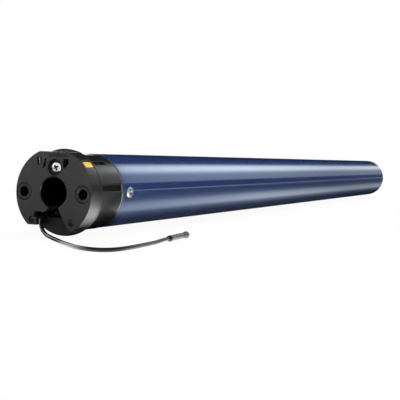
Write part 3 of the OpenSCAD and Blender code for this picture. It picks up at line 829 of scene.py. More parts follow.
@dataclass(frozen=True)
class PanScrew:
    """A cross-recessed pan-head screw, drawn along +X with its head at the far end."""

    head_radius: float = 3.4 * MM
    head_height: float = 1.9 * MM
    shank_radius: float = 2.0 * MM
    shank_length: float = 12.1 * MM
    recess_width: float = 1.15 * MM
    recess_depth: float = 1.3 * MM
    dome_base: float = 0.42
    dome_flat: float = 0.30

    def outline(self, steps: int = 8) -> list[Pair]:
        """Gives the screw's outline from its tip to the middle of its domed head."""
        length, shank, head = self.shank_length, self.shank_radius, self.head_radius
        dome = []
        for step in range(steps + 1):
            angle = math.radians(90 * step / steps)
            across = self.dome_flat + (1 - self.dome_flat) * math.cos(angle)
            dome.append((
                self.head_height * (self.dome_base + (1 - self.dome_base) * math.sin(angle)),
                head * across if step < steps else 0.0,
            ))
        nose = min(0.5 * MM, shank / 3)
        return [
            (-length, 0.0), (-length, shank - nose), (nose - length, shank), (0.0, shank),
            (0.0, head * 0.965), (head * 0.035, head), *dome,
        ]

    def bar(self, turn: float) -> bpy.types.Object:
        """Makes the cutter for one bar of the cross.

        Args:
            turn: The bar's turn about the screw's axis, in degrees.

        Returns:
            The cutter.
        """
        reach, half = self.head_radius * 0.62, self.recess_width / 2
        rows = [
            [Vector((x, y, z)) for y, z in ((-w, -h), (w, -h), (w, h), (-w, h))]
            for x, w, h in (
                (self.head_height - self.recess_depth, reach * 0.45, half * 0.7),
                (self.head_height + self.head_radius * 0.06, reach, half),
            )
        ]
        spin = Matrix.Rotation(math.radians(turn), 4, "X")
        return Shape().grid(rows, capped=True).moved(spin).piece("cross_cutter")

    def in_cross(self, point: Vector) -> bool:
        """Says whether a point is in the cross, by its depth below the dome."""
        off = off_axis(point)
        floor = self.head_height - self.recess_depth - 0.01 * MM
        if off > self.head_radius * 0.64 or point.x < floor:
            return False
        curve = math.sqrt(max(0.0, 1 - (off / self.head_radius) ** 2))
        dome = self.head_height * (self.dome_base + (1 - self.dome_base) * curve)
        return point.x < dome - 0.16 * MM

    def build(self, name: str, place: Matrix) -> bpy.types.Object:
        """Turns the screw and cuts its cross.

        Args:
            name: The piece's name.
            place: Where it goes. The underside of its head is at x = 0 before that.

        Returns:
            The screw.
        """
        screw = Shape().lathe(self.outline(), 64).piece(name)
        for turn in (0.0, 90.0):
            cut(screw, self.bar(turn))
        # Painted shade: the cross's walls and floor are darkened almost to black.
        painted_recess_shade(screw, 0.95, self.in_cross)
        screw.data.transform(place)
        return screw


@dataclass(frozen=True)
class ThreadedInsert:
    """A steel insert with a cut thread and a plain outside."""

    radius: float = 4.0 * MM
    minor: float = 2.6 * MM
    major: float = 3.0 * MM
    pitch: float = 1.0 * MM
    depth: float = 10.9 * MM
    lead_in: float = 0.5 * MM
    edge: float = 0.15 * MM

    def wall(self, x: float, angle: float) -> float:
        """Gives the thread's radius at a depth and an angle in radians."""
        phase = (x / self.pitch - angle / (2 * math.pi)) % 1.0
        height = max(0.0, min(1.0, 1.5 - abs(phase - 0.5) * 4.0))
        mouth = max(0.0, 1.0 - x / self.lead_in)
        return max(self.minor + (self.major - self.minor) * height, self.minor + 0.55 * MM * mouth)

    def build(self, name: str, centre: Pair, turns: int = 72) -> bpy.types.Object:
        """Builds the insert along +X from x = 0.

        Args:
            name: The object's name.
            centre: Where its axis passes, as (y, z).
            turns: Segments round the axis.

        Returns:
            The insert.
        """
        steps = int(self.depth / self.pitch * 8)
        outside = ((self.depth, self.radius), (self.edge, self.radius), (0.0, self.radius - self.edge))
        rows = [[around(x, radius, a, centre) for a in turns_of(turns)] for x, radius in outside]
        for row in range(steps + 1):
            x = self.depth * row / steps
            rows.append([around(x, self.wall(x, a), a, centre) for a in turns_of(turns)])
        return Shape().grid([*rows, rows[0]]).piece(name, smooth=50.0)


@dataclass(frozen=True)
class Bearing:
    """A shielded ball bearing, seen as two rings with a shield between them."""

    outer: float
    bore: float
    width: float

    def build(self, name: str, start: float) -> bpy.types.Object:
        """Turns the bearing about the tube's axis.

        Args:
            name: The object's name.
            start: The x of its near side.

        Returns:
            The bearing.
        """
        band = (self.outer - self.bore) * 0.24
        edge, sink = min(0.3 * MM, band * 0.3), min(0.25 * MM, band * 0.3)
        inner, outer, dip = self.bore + band, self.outer - band, sink * 0.4
        near, far = start, start + self.width
        half = [
            (near + edge, self.bore), (near, self.bore + edge), (near, inner), (near + sink, inner + dip),
            (near + sink, outer - dip), (near, outer), (near, self.outer - edge), (near + edge, self.outer),
        ]
        other = [(near + far - x, radius) for x, radius in reversed(half)]
        return Shape().lathe(half + other, 96).piece(name)


@dataclass
class Pigtail:
    """The thin lead below the head, with its relief and its small round connector."""

    diameter: float = 2.2 * MM
    exit: Point = (12.5 * MM, 8.2 * MM, -12.8 * MM)
    length: float = 163.0 * MM
    plug_at: Point = (25.5 * MM, -60.3 * MM, -23.38 * MM)
    plug_turn: float = 2.2
    plug_lift: float = 0.8
    flat: tuple[Point, Point] = ((5.0 * MM, -2 * MM, 1.51 * MM), (13.0 * MM, 2 * MM, 3 * MM))
    before: Point = (15.0, 8.2, -12.8)
    route: tuple[Point, ...] = (
        (12.5, 8.2, -12.8), (10, 8.2, -13), (7, 8.2, -13.2), (4, 8.1, -13.5), (1.4, 7.8, -14.2),
        (-0.6, 7.2, -15.8), (-2, 6.1, -18.2), (-3.5, 3.9, -20.7), (-5.6, 0.2, -22.9),
        (-10, -6.5, -23.9), (-18, -15.6, -24), (-26.2, -24.4, -24), (-33, -33, -24),
        (-37.6, -39.6, -24), (-40.6, -45.4, -24), (-42, -51, -24), (-41.4, -55.4, -24),
        (-39, -58.8, -24), (-34.8, -61.2, -24), (-28.6, -62.3, -24), (-19, -62.5, -24),
        (-7.1, -62, -24), (6.2, -61.2, -24), (14, -60.8, -23.8), (20, -60.5, -23.5),
        (25.5, -60.3, -23.38),
    )
    tip: tuple[Pair, ...] = (
        (23, 0), (23, 1.65), (24.1, 1.65), (24.9, 2), (25.05, 2.05), (25.9, 2.05), (26, 1.95),
        (26, 1.25), (25.8, 1.1), (23.8, 1.1), (23.8, 0),
    )
    pin: tuple[Pair, ...] = ((23.7, 0), (23.7, 0.35), (25.3, 0.35), (25.5, 0.2), (25.5, 0))

    def build(self, wardrobe: Wardrobe) -> None:
        """Builds the lead, its relief and its connector."""
        lead = self.lead()
        wardrobe.fit(lead, Slot.LEAD, "pigtail_lead")
        turn = Matrix.Rotation(math.radians(self.plug_turn), 4, "Z")
        tilt = Matrix.Rotation(math.radians(-self.plug_lift), 4, "Y")
        place = Matrix.Translation(Vector(self.plug_at)) @ turn @ tilt
        at_exit = Matrix.Translation(Vector((0.0, *self.exit[1:])))
        for name, outline, turns, slot, node, where in (
            ("plug_boot_ribbed", self.boot(), 40, Slot.LEAD, "plug_boot", place),
            ("plug_body_grip", self.body(), 64, Slot.PLUG, "plug_body", place),
            ("plug_tip_socket", self.tip, 48, Slot.PLUG, "plug_tip", place),
            ("plug_contact_pin", self.pin, 24, Slot.STEEL, "", place),
            ("cable_relief", self.relief(), 48, Slot.RUBBER, "cable_grommet", at_exit),
        ):
            piece = Shape().lathe(in_mm(outline), turns).piece(name)
            if node == "plug_body":
                cut(piece, Shape().box(*self.flat).piece("flat_cutter"))
            piece.data.transform(where)
            wardrobe.fit(piece, slot, node)

    def lead(self) -> bpy.types.Object:
        """Draws the lead as one smooth round curve through its route."""
        data = bpy.data.curves.new("pigtail_cable", "CURVE")
        data.dimensions = "3D"
        data.bevel_depth = self.diameter / 2
        data.bevel_resolution = 5
        data.resolution_u = 10
        data.use_fill_caps = True
        line = data.splines.new("BEZIER")
        points = [Vector(point) for point in (self.before, *self.route, self.route[-1])]
        line.bezier_points.add(len(self.route) - 1)
        for knot, behind, here, after in zip(line.bezier_points, points, points[1:], points[2:]):
            lean = (after - behind) / 6
            knot.handle_left_type = knot.handle_right_type = "FREE"
            knot.co = here * MM
            knot.handle_left = (here - lean) * MM
            knot.handle_right = (here + lean) * MM
        made = bpy.data.objects.new("pigtail_cable", data)
        bpy.context.scene.collection.objects.link(made)
        return made

    @staticmethod
    def relief(foot: float = 18.0) -> list[Pair]:
        """Gives the tapered relief's outline, with rings that let it bend."""
        points = [(-0.5, 0.0), (-0.5, 1.18), (-5.5, 1.18), (-5.5, 1.32), (-5.4, 1.4)]
        for rib in range(4):
            points += groove(-5.0 + 0.95 * rib, 1.45 + 0.09 * rib, 0.12, 0.28, 0.2, rise=0.04)
        points += [(-1.0, 1.85), (-0.9, 2.0), (0.0, 2.0), (0.0, 1.7), (1.8, 1.7), (1.8, 0.0)]
        return [(foot + x, radius) for x, radius in points]

    @staticmethod
    def boot() -> list[Pair]:
        """Gives the outline of the plug's ribbed boot."""
        points = [(0.0, 0.0), (0.0, 1.22), (0.1, 1.3)]
        for rib in range(3):
            points += groove(0.55 + 0.85 * rib, 1.5 + 0.1 * rib, 0.14, 0.2, 0.18)
        return [*points, (3.3, 1.7), (3.4, 1.6), (3.4, 0.0)]

    @staticmethod
    def body(radius: float = 1.65, shoulder: float = 23.0) -> list[Pair]:
        """Gives the outline of the plug's body, with its grip rings."""
        points = [(3.4, 0.0), (3.4, radius - 0.14), (3.54, radius)]
        for ring in range(4):
            points += groove(shoulder - 3.8 + 0.8 * ring, radius, 0.12, 0.26, 0.14)
        return [*points, (shoulder, radius), (shoulder, 0.0)]


@dataclass
class Head:
    """The bracket head: housing, flange, inserts, clamp, small screws and setting button."""

    fix_y: float = 19.5 * MM
    clamp_at: Point = (2.8 * MM, -0.8 * MM, 14.3 * MM)
    lobes: tuple[Point, ...] = ((1.4 * MM, -12.4 * MM, -16.4 * MM), (1.4 * MM, 14.0 * MM, -15.8 * MM))
    edge: float = 0.22 * MM
    mouth: float = 0.5 * MM
    front: float = 0.1 * MM
    flange_reach: float = 24.0 * MM
    passage: float = 8.6 * MM
    flange_depth: float = 13.5 * MM
    insert_bore: float = 3.2 * MM
    insert_mouth: float = 0.25 * MM
    lobe_screw: PanScrew = PanScrew(1.75 * MM, 0.8 * MM, 1.1 * MM, 10.7 * MM, 0.5 * MM, 0.55 * MM)

    def build(self, wardrobe: Wardrobe) -> None:
        """Builds and dresses the head's pieces."""
        shape = from_node("head_housing")
        shape.rounded(self.mouth, 3, where=lambda p: off_axis(p) < self.passage and p.x < self.front)
        housing = shape.rounded(self.edge).piece("head_shell")
        # Painted shade: the middle passage's faces behind the rounded mouth are darkened.
        painted_recess_shade(housing, 0.9, lambda point: off_axis(point) < self.passage and point.x > self.mouth)
        wardrobe.fit(even_shading(housing), Slot.HEAD, "head_housing")
        flange = from_node("bearing_hub").rounded(0.2 * MM, where=lambda p: off_axis(p) > self.flange_reach)
        hub = flange.piece("hub_flange")
        # Painted shade: the hub's faces from the flange front backwards are darkened almost to black.
        painted_recess_shade(hub, 0.97, lambda point: point.x >= self.flange_depth)
        wardrobe.fit(even_shading(hub), Slot.HEAD, "bearing_hub")
        self.inserts(wardrobe)
        self.screws(wardrobe)
        wardrobe.soften("clamp_cover", "clamp_bar", Slot.CROWN, 0.16 * MM)
        wardrobe.soften("clamp_strip", "clamp_leaf", Slot.RING, 0.1 * MM)
        wardrobe.soften("setting_button", "button_cap", Slot.BUTTON, 0.35 * MM, "button", steps=3)
        wardrobe.soften("button_switch", "button_contact", Slot.CHIP, 0.12 * MM)

    def in_bore(self, point: Vector) -> bool:
        """Says whether a point is in an insert's bore."""
        return math.hypot(abs(point.y) - self.fix_y, point.z) < self.insert_bore and point.x > self.insert_mouth

    def inserts(self, wardrobe: Wardrobe) -> None:
        """Builds the two threaded inserts as one piece."""
        made = [ThreadedInsert().build(f"insert_{side}", (side * self.fix_y, 0.0)) for side in (-1, 1)]
        inserts = joined("threaded_inserts", made)
        # Painted shade: the threaded bores behind their mouths are darkened almost to black.
        painted_recess_shade(inserts, 0.97, self.in_bore)
        wardrobe.fit(inserts, Slot.INSERT, "fixing_inserts")

    def screws(self, wardrobe: Wardrobe) -> None:
        """Builds the silver clamp screw and the two small black ones."""
        towards = (-1.0, 0.0, 0.0)
        clamp = PanScrew().build("clamp_pan_screw", facing(self.clamp_at, towards, 28.0))
        wardrobe.fit(clamp, Slot.SILVER_SCREW, "clamp_screw")
        made = [
            self.lobe_screw.build(f"lobe_{step}", facing(place, towards, 20.0))
            for step, place in enumerate(self.lobes)
        ]
        wardrobe.fit(joined("lobe_pan_screws", made), Slot.BLACK_SCREW, "lobe_screws")


@dataclass
class Crown:
    """The crown ring that drives the counter, and the steel ring behind it."""

    rim: float = 21.0 * MM
    keyway_top: float = 21.6 * MM
    neck: float = 15.42 * MM
    ring_start: float = 39.2 * MM
    ring_end: float = 40.9 * MM
    ring_radius: float = 22.3 * MM
    bend: float = 0.6 * MM
    edge: float = 0.1 * MM

    def build(self, wardrobe: Wardrobe) -> None:
        """Builds and dresses the crown's pieces."""
        shape = from_node("crown_ring").rounded(0.2 * MM, where=lambda point: off_axis(point) > self.rim)
        ring = shape.piece("crown_keyed_ring")
        # Painted shade: the faces below the keyway's top are darkened by about half.
        painted_recess_shade(ring, 0.55, lambda point: off_axis(point) < self.keyway_top)
        wardrobe.fit(even_shading(ring), Slot.CROWN, "crown_ring", "crown")
        shoulder = (self.ring_start + self.bend, self.ring_radius - self.bend)
        outline = [
            (self.ring_end, self.neck), (self.ring_start + self.edge, self.neck),
            (self.ring_start, self.neck + self.edge), (self.ring_start, shoulder[1]),
            *reversed(arc(shoulder, self.bend, 90, 180)), (self.ring_end, self.ring_radius),
        ]
        wardrobe.fit(Shape().lathe(outline, 192).piece("keeper_ring"), Slot.RING, "retaining_ring")


@dataclass
class Tube:
    """The painted steel tube and the low screws that hold it to its two ends."""

    radius: float = 22.5 * MM
    bore: float = 21.3 * MM
    seat: float = 21.2 * MM
    start: float = 40.9 * MM
    end: float = 740.9 * MM
    lip: float = 0.3 * MM
    hole: float = 3.75 * MM
    lit_depth: float = 0.45 * MM
    front: Row = (48.9 * MM, (0.0, 180.0))
    rear: Row = (723.1 * MM, (-25.0, 25.0))
    screw: PanScrew = PanScrew(
        head_height=1.5 * MM, shank_length=5.1 * MM, recess_width=0.9 * MM, recess_depth=1.0 * MM
    )

    def build(self, wardrobe: Wardrobe) -> None:
        """Builds the tube with its holes, and the screws in its front ones."""
        tube = Shape().lathe(self.outline(), 256).piece("blue_tube")
        for x, angles in (self.front, self.rear):
            for angle in angles:
                cut(tube, self.drill(x, angle))
        # Painted shade: the bore and the hole walls deeper than lit_depth are darkened almost to black, which
        # draws a dark ring round each screw.
        painted_recess_shade(tube, 0.97, lambda point: off_axis(point) < self.radius - self.lit_depth)
        self.even_out(tube)
        wardrobe.fit(tube, Slot.TUBE, "motor_tube")
        self.screws(wardrobe, self.front, "tube_pan_screws", "tube_screws")

    def screws(self, wardrobe: Wardrobe, row: Row, name: str, node: str) -> None:
        """Builds the screws in one row of holes as one piece.

        Args:
            wardrobe: The materials.
            row: The row's x and the angles of its holes.
            name: The piece's name.
            node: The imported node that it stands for.
        """
        made = [
            self.screw.build(f"{name}_{step}", self.out_from(row[0], self.seat, angle, 18.0))
            for step, angle in enumerate(row[1])
        ]
        wardrobe.fit(joined(name, made), Slot.SILVER_SCREW, node)

    def outline(self, reach: float = 6 * MM, spans: int = 12) -> list[Pair]:
        """Gives the wall's outline, with stations beside the holes that keep the long faces clean.

        Args:
            reach: How far from a row of holes the stations beside it stand.
            spans: Parts of the length between the rows.

        Returns:
            The outline.
        """
        first, last = self.front[0] + reach, self.rear[0] - reach
        stations = [self.front[0] - reach, first, last, self.rear[0] + reach]
        stations += [first + (last - first) * step / spans for step in range(1, spans)]
        top = self.radius - self.lip
        return [
            (self.start, self.bore),
            *reversed(arc((self.start + self.lip, top), self.lip, 90, 180, 3)),
            *((x, self.radius) for x in sorted(stations)),
            *reversed(arc((self.end - self.lip, top), self.lip, 0, 90, 3)),
            (self.end, self.bore),
            *((x, self.bore) for x in sorted(stations, reverse=True)),
        ]

    @staticmethod
    def out_from(x: float, radius: float, angle: float, roll: float = 0.0) -> Matrix:
        """Gives the matrix that stands a piece on the tube, facing outwards.

        Args:
            x: The place along the tube.
            radius: The distance from the tube's axis.
            angle: The angle from +Y towards +Z, in degrees.
            roll: A turn about the outward line, in degrees.

        Returns:
            The matrix.
        """
        turn = math.radians(angle)
        return facing(around(x, radius, turn), around(0.0, 1.0, turn), roll)

    def drill(self, x: float, angle: float) -> bpy.types.Object:
        """Makes the cutter for one hole, with a slope that breaks its rim."""
        small, large = self.hole / MM, self.hole / MM + 0.4
        slope = in_mm(((-3, 0), (-3, small), (-0.6, small), (0.1, large), (3, large), (3, 0)))
        return Shape().lathe(slope, 64).moved(self.out_from(x, self.radius, angle)).piece("drill")

    @staticmethod
    def even_out(tube: bpy.types.Object) -> None:
        """Gives the tube's outside the exact normals of a cylinder, so that it reflects cleanly."""
        across = Vector((0.0, 1.0, 1.0))
        normals = []
        for face in tube.data.polygons:
            lean = face.normal.dot((face.center * across).normalized())
            for corner in face.vertices:
                radial = (tube.data.vertices[corner].co * across).normalized()
                normals.append(tuple(radial * math.copysign(1.0, lean) if abs(lean) > 0.995 else face.normal))
        tube.data.normals_split_custom_set(normals)


@dataclass
class DriveEnd:
    """The far end: the cap that closes the tube, the drive shaft and its bearings."""

    cap_edge: float = 740.4 * MM
    shaft_from: float = 741.4 * MM
    bearings: tuple[float, ...] = (703.1 * MM, 729.9 * MM)
    bearing: Bearing = Bearing(10.0 * MM, 6.05 * MM, 7.0 * MM)

    def build(self, wardrobe: Wardrobe) -> None:
        """Builds and dresses the far end's pieces."""
        for node, name, slot, width, edge, body in (
            ("end_cap", "tube_end_cap", Slot.ALLOY, 0.25 * MM, self.cap_edge, FIXED_BODY),
            ("output_shaft", "drive_shaft_flatted", Slot.STEEL, 0.15 * MM, self.shaft_from, "output"),
        ):
            wardrobe.soften(node, name, slot, width, body, where=lambda point: point.x > edge)
        made = [self.bearing.build(f"race_{step}", x) for step, x in enumerate(self.bearings)]
        wardrobe.fit(joined("shaft_bearings", made), Slot.STEEL, "output_bearings")


@dataclass
class Electronics:
    """The tray with the control board and what stands on it."""

    tray_x: float = 72.0
    tray_len: float = 116.0
    board_top: float = -5.7
    chips: tuple[tuple[float, ...], ...] = (
        (0.255, -8, 12, 12), (0.41, 2, 8, 6), (0.54, -11, 10, 8), (0.64, 3, 6, 5),
    )
    cans: tuple[Pair, ...] = ((32, -8), (20, -8), (26, 8))
    screw_wells: tuple[float, ...] = (-11.0, -5.0)
    well_screw: PanScrew = PanScrew(1.4 * MM, 1.2 * MM, 0.7 * MM, 0.2 * MM, 0.4 * MM, 0.5 * MM)
    can: tuple[Pair, ...] = (
        (0, 0), (0, 3.6), (0.2, 3.9), (1.2, 4), (1.6, 3.7), (2, 3.7), (2.4, 4), (12.5, 4),
        (12.9, 3.8), (13, 3.5), (12.8, 3.2), (12.8, 0),
    )

    def build(self, wardrobe: Wardrobe) -> None:
        """Builds and dresses the electronics."""
        for node, name, slot in (
            ("board_tray", "electronics_tray", Slot.HEAD),
            ("control_board", "printed_board", Slot.BOARD),
            ("board_chips", "chip_bodies", Slot.CHIP),
            ("terminal_block", "terminal_housing", Slot.BLOCK),
        ):
            wardrobe.soften(node, name, slot, 0.12 * MM)
        wardrobe.fit(self.legs(), Slot.STEEL)
        cans = [
            Shape().lathe(in_mm(self.can), 48).moved(self.upright(self.tray_len - back, y, self.board_top))
            .piece(f"can_{back}")
            for back, y in self.cans
        ]
        wardrobe.fit(joined("capacitor_cans", cans), Slot.CAPACITOR, "board_capacitors")
        place = ((self.tray_x + 16) * MM, 9.4 * MM, -3.3 * MM)
        coil = Shape().lathe(in_mm(self.coil()), 32, place).piece("wound_coil")
        wardrobe.fit(coil, Slot.COPPER, "radio_coil")
        made = [
            self.well_screw.build(f"terminal_{step}", self.upright(16.5, y, -1.75, 30.0))
            for step, y in enumerate(self.screw_wells)
        ]
        wardrobe.fit(joined("terminal_pan_screws", made), Slot.STEEL)

    def upright(self, along: float, y: float, z: float, roll: float = 0.0) -> Matrix:
        """Gives the matrix that stands a piece up in the tray, at a place in millimetres."""
        return facing(((self.tray_x + along) * MM, y * MM, z * MM), (0.0, 0.0, 1.0), roll)

    def legs(self, pitch: float = 1.27, width: float = 0.4, reach: float = 0.8) -> bpy.types.Object:
        """Builds the chips' legs, a row along each long side.

        Args:
            pitch: From leg to leg, in millimetres.
            width: A leg's width.
            reach: How far it stands out.

        Returns:
            The legs.
        """
        shape = Shape()
        inside, thick = 0.05, 0.15
        for share, y, long, wide in self.chips:
            count = int(long / pitch) - 1
            first = self.tray_x + share * self.tray_len + (long - (count - 1) * pitch) / 2
            for step in range(count):
                x = first + step * pitch
                for low, high in ((y - reach, y + inside), (y + wide - inside, y + wide + reach)):
                    near = Vector((x - width / 2, low, self.board_top)) * MM
                    shape.box(near, near + Vector((width, high - low, thick)) * MM)
        return shape.piece("chip_legs")

    @staticmethod
    def coil(turns: int = 15, length: float = 9.0) -> list[Pair]:
        """Gives the coil's outline, one bulge for each turn of wire."""
        points = [(0.0, 0.0), (0.0, 1.9)]
        for turn in range(turns):
            for part in (0.125, 0.375, 0.625, 0.875):
                points.append((length * (turn + part) / turns, 2.12 + 0.26 * math.sin(math.pi * part)))
        return [*points, (length, 1.9), (length, 0.0)]


@dataclass
class CellPack:
    """Twelve cells in four groups of three, between their holders."""

    start: float = 200.0 * MM
    pitch: float = 66.6 * MM
    groups: int = 4
    offset: float = (18.4 / math.sqrt(3.0) + 0.05) * MM
    sleeve: tuple[Pair, ...] = (
        (1.1, 0), (1.1, 7.6), (0.9, 8.6), (1.3, 9.2), (3.2, 9.2), (3.8, 8.85), (4.4, 8.85), (5, 9.2),
        (64.5, 9.2), (65, 8.7), (65, 0),
    )
    cap: tuple[Pair, ...] = ((0, 0), (0, 3.3), (0.15, 3.5), (0.7, 3.6), (0.9, 5), (1.15, 5.1), (1.15, 0))

    def build(self, wardrobe: Wardrobe) -> None:
        """Builds the cells' sleeves and caps, and rounds the holders."""
        sleeves, caps = Shape(), Shape()
        for group in range(self.groups):
            for angle in (180.0, 300.0, 60.0):
                at = tuple(around(self.start + group * self.pitch, self.offset, math.radians(angle)))
                sleeves.lathe(in_mm(self.sleeve), 48, at)
                caps.lathe(in_mm(self.cap), 32, at)
        wardrobe.fit(sleeves.piece("cell_sleeves"), Slot.CELL, "battery_cells")
        wardrobe.fit(caps.piece("cell_caps"), Slot.STEEL)
        wardrobe.soften("cell_holders", "cell_spacers", Slot.HEAD, 0.15 * MM)


@dataclass
class Motor:
    """The direct-current motor: can, magnets, end bell, rotor and its windings."""

    web: Pair = (595.9 * MM, 629.9 * MM)
    poles: int = 6
    wire: float = 0.34 * MM
    bearings: tuple[tuple[Bearing, float], ...] = (
        (Bearing(5.48 * MM, 2.55 * MM, 5.0 * MM), 572.5 * MM),
        (Bearing(5.48 * MM, 2.55 * MM, 1.8 * MM), 644.0 * MM),
    )
    layers: tuple[tuple[float, float, float, int], ...] = (
        (2.05 * MM, 0.45 * MM, 6.5 * MM, 6), (2.8 * MM, 1.15 * MM, 7.6 * MM, 4),
    )

    def build(self, wardrobe: Wardrobe) -> None:
        """Builds and dresses the motor's pieces."""
        for node, name, slot, width in (
            ("motor_can", "motor_shell", Slot.STEEL, 0.3 * MM),
            ("motor_magnets", "magnet_arcs", Slot.MAGNET, 0.2 * MM),
            ("motor_end_bell", "brush_end_bell", Slot.HEAD, 0.2 * MM),
            ("motor_brushes", "brush_blocks", Slot.CARBON, 0.15 * MM),
        ):
            wardrobe.soften(node, name, slot, width, angle=50.0)
        made = [bearing.build(f"race_{step}", x) for step, (bearing, x) in enumerate(self.bearings)]
        wardrobe.fit(joined("rotor_bearings", made), Slot.STEEL, "motor_bearings")
        wardrobe.fit(self.windings(), Slot.COPPER, body="rotor")

    def windings(self) -> bpy.types.Object:
        """Builds the wire loops round the rotor's poles."""
        shape = Shape()
        near, far = self.web
        for pole in turns_of(self.poles):
            spin = Matrix.Rotation(pole, 3, "X")
            for side, reach, first, count in self.layers:
                corners = self.rounded_loop(near - reach, far + reach, side)
                for turn in range(count):
                    y = first + turn * 2.15 * self.wire
                    shape.loop([spin @ Vector((x, y, z)) for x, z in corners], self.wire)
        return shape.piece("rotor_windings", smooth=70.0)

    @staticmethod
    def rounded_loop(near: float, far: float, side: float) -> list[Pair]:
        """Gives a long loop's points with rounded ends.

        Args:
            near: The lowest x.
            far: The highest x.
            side: Half the loop's width.

        Returns:
            Points of (x, z).
        """
        bend = side * 0.7
        right, left, up = far - bend, near + bend, side - bend
        points: list[Pair] = []
        for centre, start in (((right, up), 0), ((left, up), 90), ((left, -up), 180), ((right, -up), 270)):
            points += arc(centre, bend, start, start + 90, 3)
        return points


@dataclass
class Gearbox:
    """The long bolts that hold the gearbox, and the low screws at the tube's far end."""

    bolt_circle: float = 19.3 * MM
    bolt: tuple[Pair, ...] = (
        (645.92, 0), (645.92, 0.6), (646.12, 0.8), (701.9, 0.8), (702.1, 0.6), (702.1, 0),
    )

    def build(self, wardrobe: Wardrobe, tube: Tube) -> None:
        """Builds the bolts and the far end's screws.

        Args:
            wardrobe: The materials.
            tube: The tube, which knows where its rear holes are.
        """
        bolts = Shape()
        for angle in (45.0, 135.0, 225.0, 315.0):
            bolts.lathe(in_mm(self.bolt), 24, tuple(around(0.0, self.bolt_circle, math.radians(angle))))
        wardrobe.fit(bolts.piece("gearbox_tie_bolts"), Slot.BLACK_SCREW)
        tube.screws(wardrobe, tube.rear, "rear_pan_screws", "gearbox_screws")


@dataclass(frozen=True)
class Card:
    """A graded card that only reflections show.

    Args:
        name: The card's name.
        rows: Rows of points that it is skinned over.
        tones: Pairs of a place and how bright the card is there, where 1 is white.
        shares: Pairs of an X and the share of its brightness that the card has there.
        cool: The X from which the card is a cooler white.
        turning: True where a tone's place is an angle over the near side in degrees, False
            where it is Y in metres.
    """

    name: str
    rows: Sequence[Sequence[Vector]]
    tones: Sequence[Pair]
    shares: Sequence[Pair]
    cool: float
    turning: bool = False
    brightest: float = 4.0
    cool_white: Colour = (0.9, 0.98, 0.95)
    cooling: float = 0.04

    @staticmethod
    def ramp(graph: Graph, place: Socket, pairs: Sequence[Pair], unit: float = 1.0, top: float = 1.0) -> Socket:
        """Grades a value over pairs of a place and a level.

        Args:
            graph: The material's graph.
            place: The place.
            pairs: The places and their levels.
            unit: What one step of the pairs' places is.
            top: The level that counts as full.

        Returns:
            The level.
        """
        low, high = pairs[0][0], pairs[-1][0]
        along = graph.between(place, 0.0, 1.0, low * unit, high * unit)
        made = graph.node("ShaderNodeValToRGB", {"Fac": along})
        steps = made.color_ramp.elements
        for index, (where, level) in enumerate(pairs):
            share = (where - low) / (high - low)
            step = steps[0] if index == 0 else steps[-1] if share == 1.0 else steps.new(share)
            step.color = (level / top,) * 3 + (1.0,)
        return made.outputs["Color"]

    def build(self) -> None:
        """Builds the card and its glow."""
        made = Shape().grid(self.rows, closed=False).piece(f"{self.name}_card")
        graph = Graph(f"{self.name}_tone")
        parts = graph.node("ShaderNodeSeparateXYZ", {0: graph.place}).outputs
        place, unit = parts["Y"], 1.0
        if self.turning:
            place = graph.maths("ARCTAN2", parts["Z"], graph.maths("MULTIPLY", parts["Y"], -1.0))
            unit = math.pi / 180
        tone = self.ramp(graph, place, self.tones, unit, self.brightest)
        share = graph.maths("MULTIPLY", self.ramp(graph, parts["X"], self.shares), self.brightest)
        cooler = graph.between(parts["X"], NOISE_LOW, NOISE_HIGH, self.cool - self.cooling, self.cool)
        graph.feed({
            "Base Color": (0.0, 0.0, 0.0, 1.0),
            "Specular IOR Level": 0.0,
            "Emission Color": graph.tint(cooler, WHITE, self.cool_white),
            "Emission Strength": graph.maths("MULTIPLY", tone, share),
        })
        made.data.materials.append(graph.material)
        made.visible_camera = made.visible_diffuse = False
        made.visible_shadow = made.visible_transmission = False


def stand(name: str, data: bpy.types.ID, axes: Sequence[Vector], place: Point) -> bpy.types.Object:
    """Puts a camera or a lamp into the scene.

    Args:
        name: The object's name.
        data: What it holds.
        axes: Where its own X, Y and Z point.
        place: Where it stands.

    Returns:
        The object.
    """
    made = bpy.data.objects.new(name, data)
    matrix = Matrix(axes).transposed().to_4x4()
    matrix.translation = Vector(place)
    made.matrix_world = matrix
    bpy.context.scene.collection.objects.link(made)
    return made


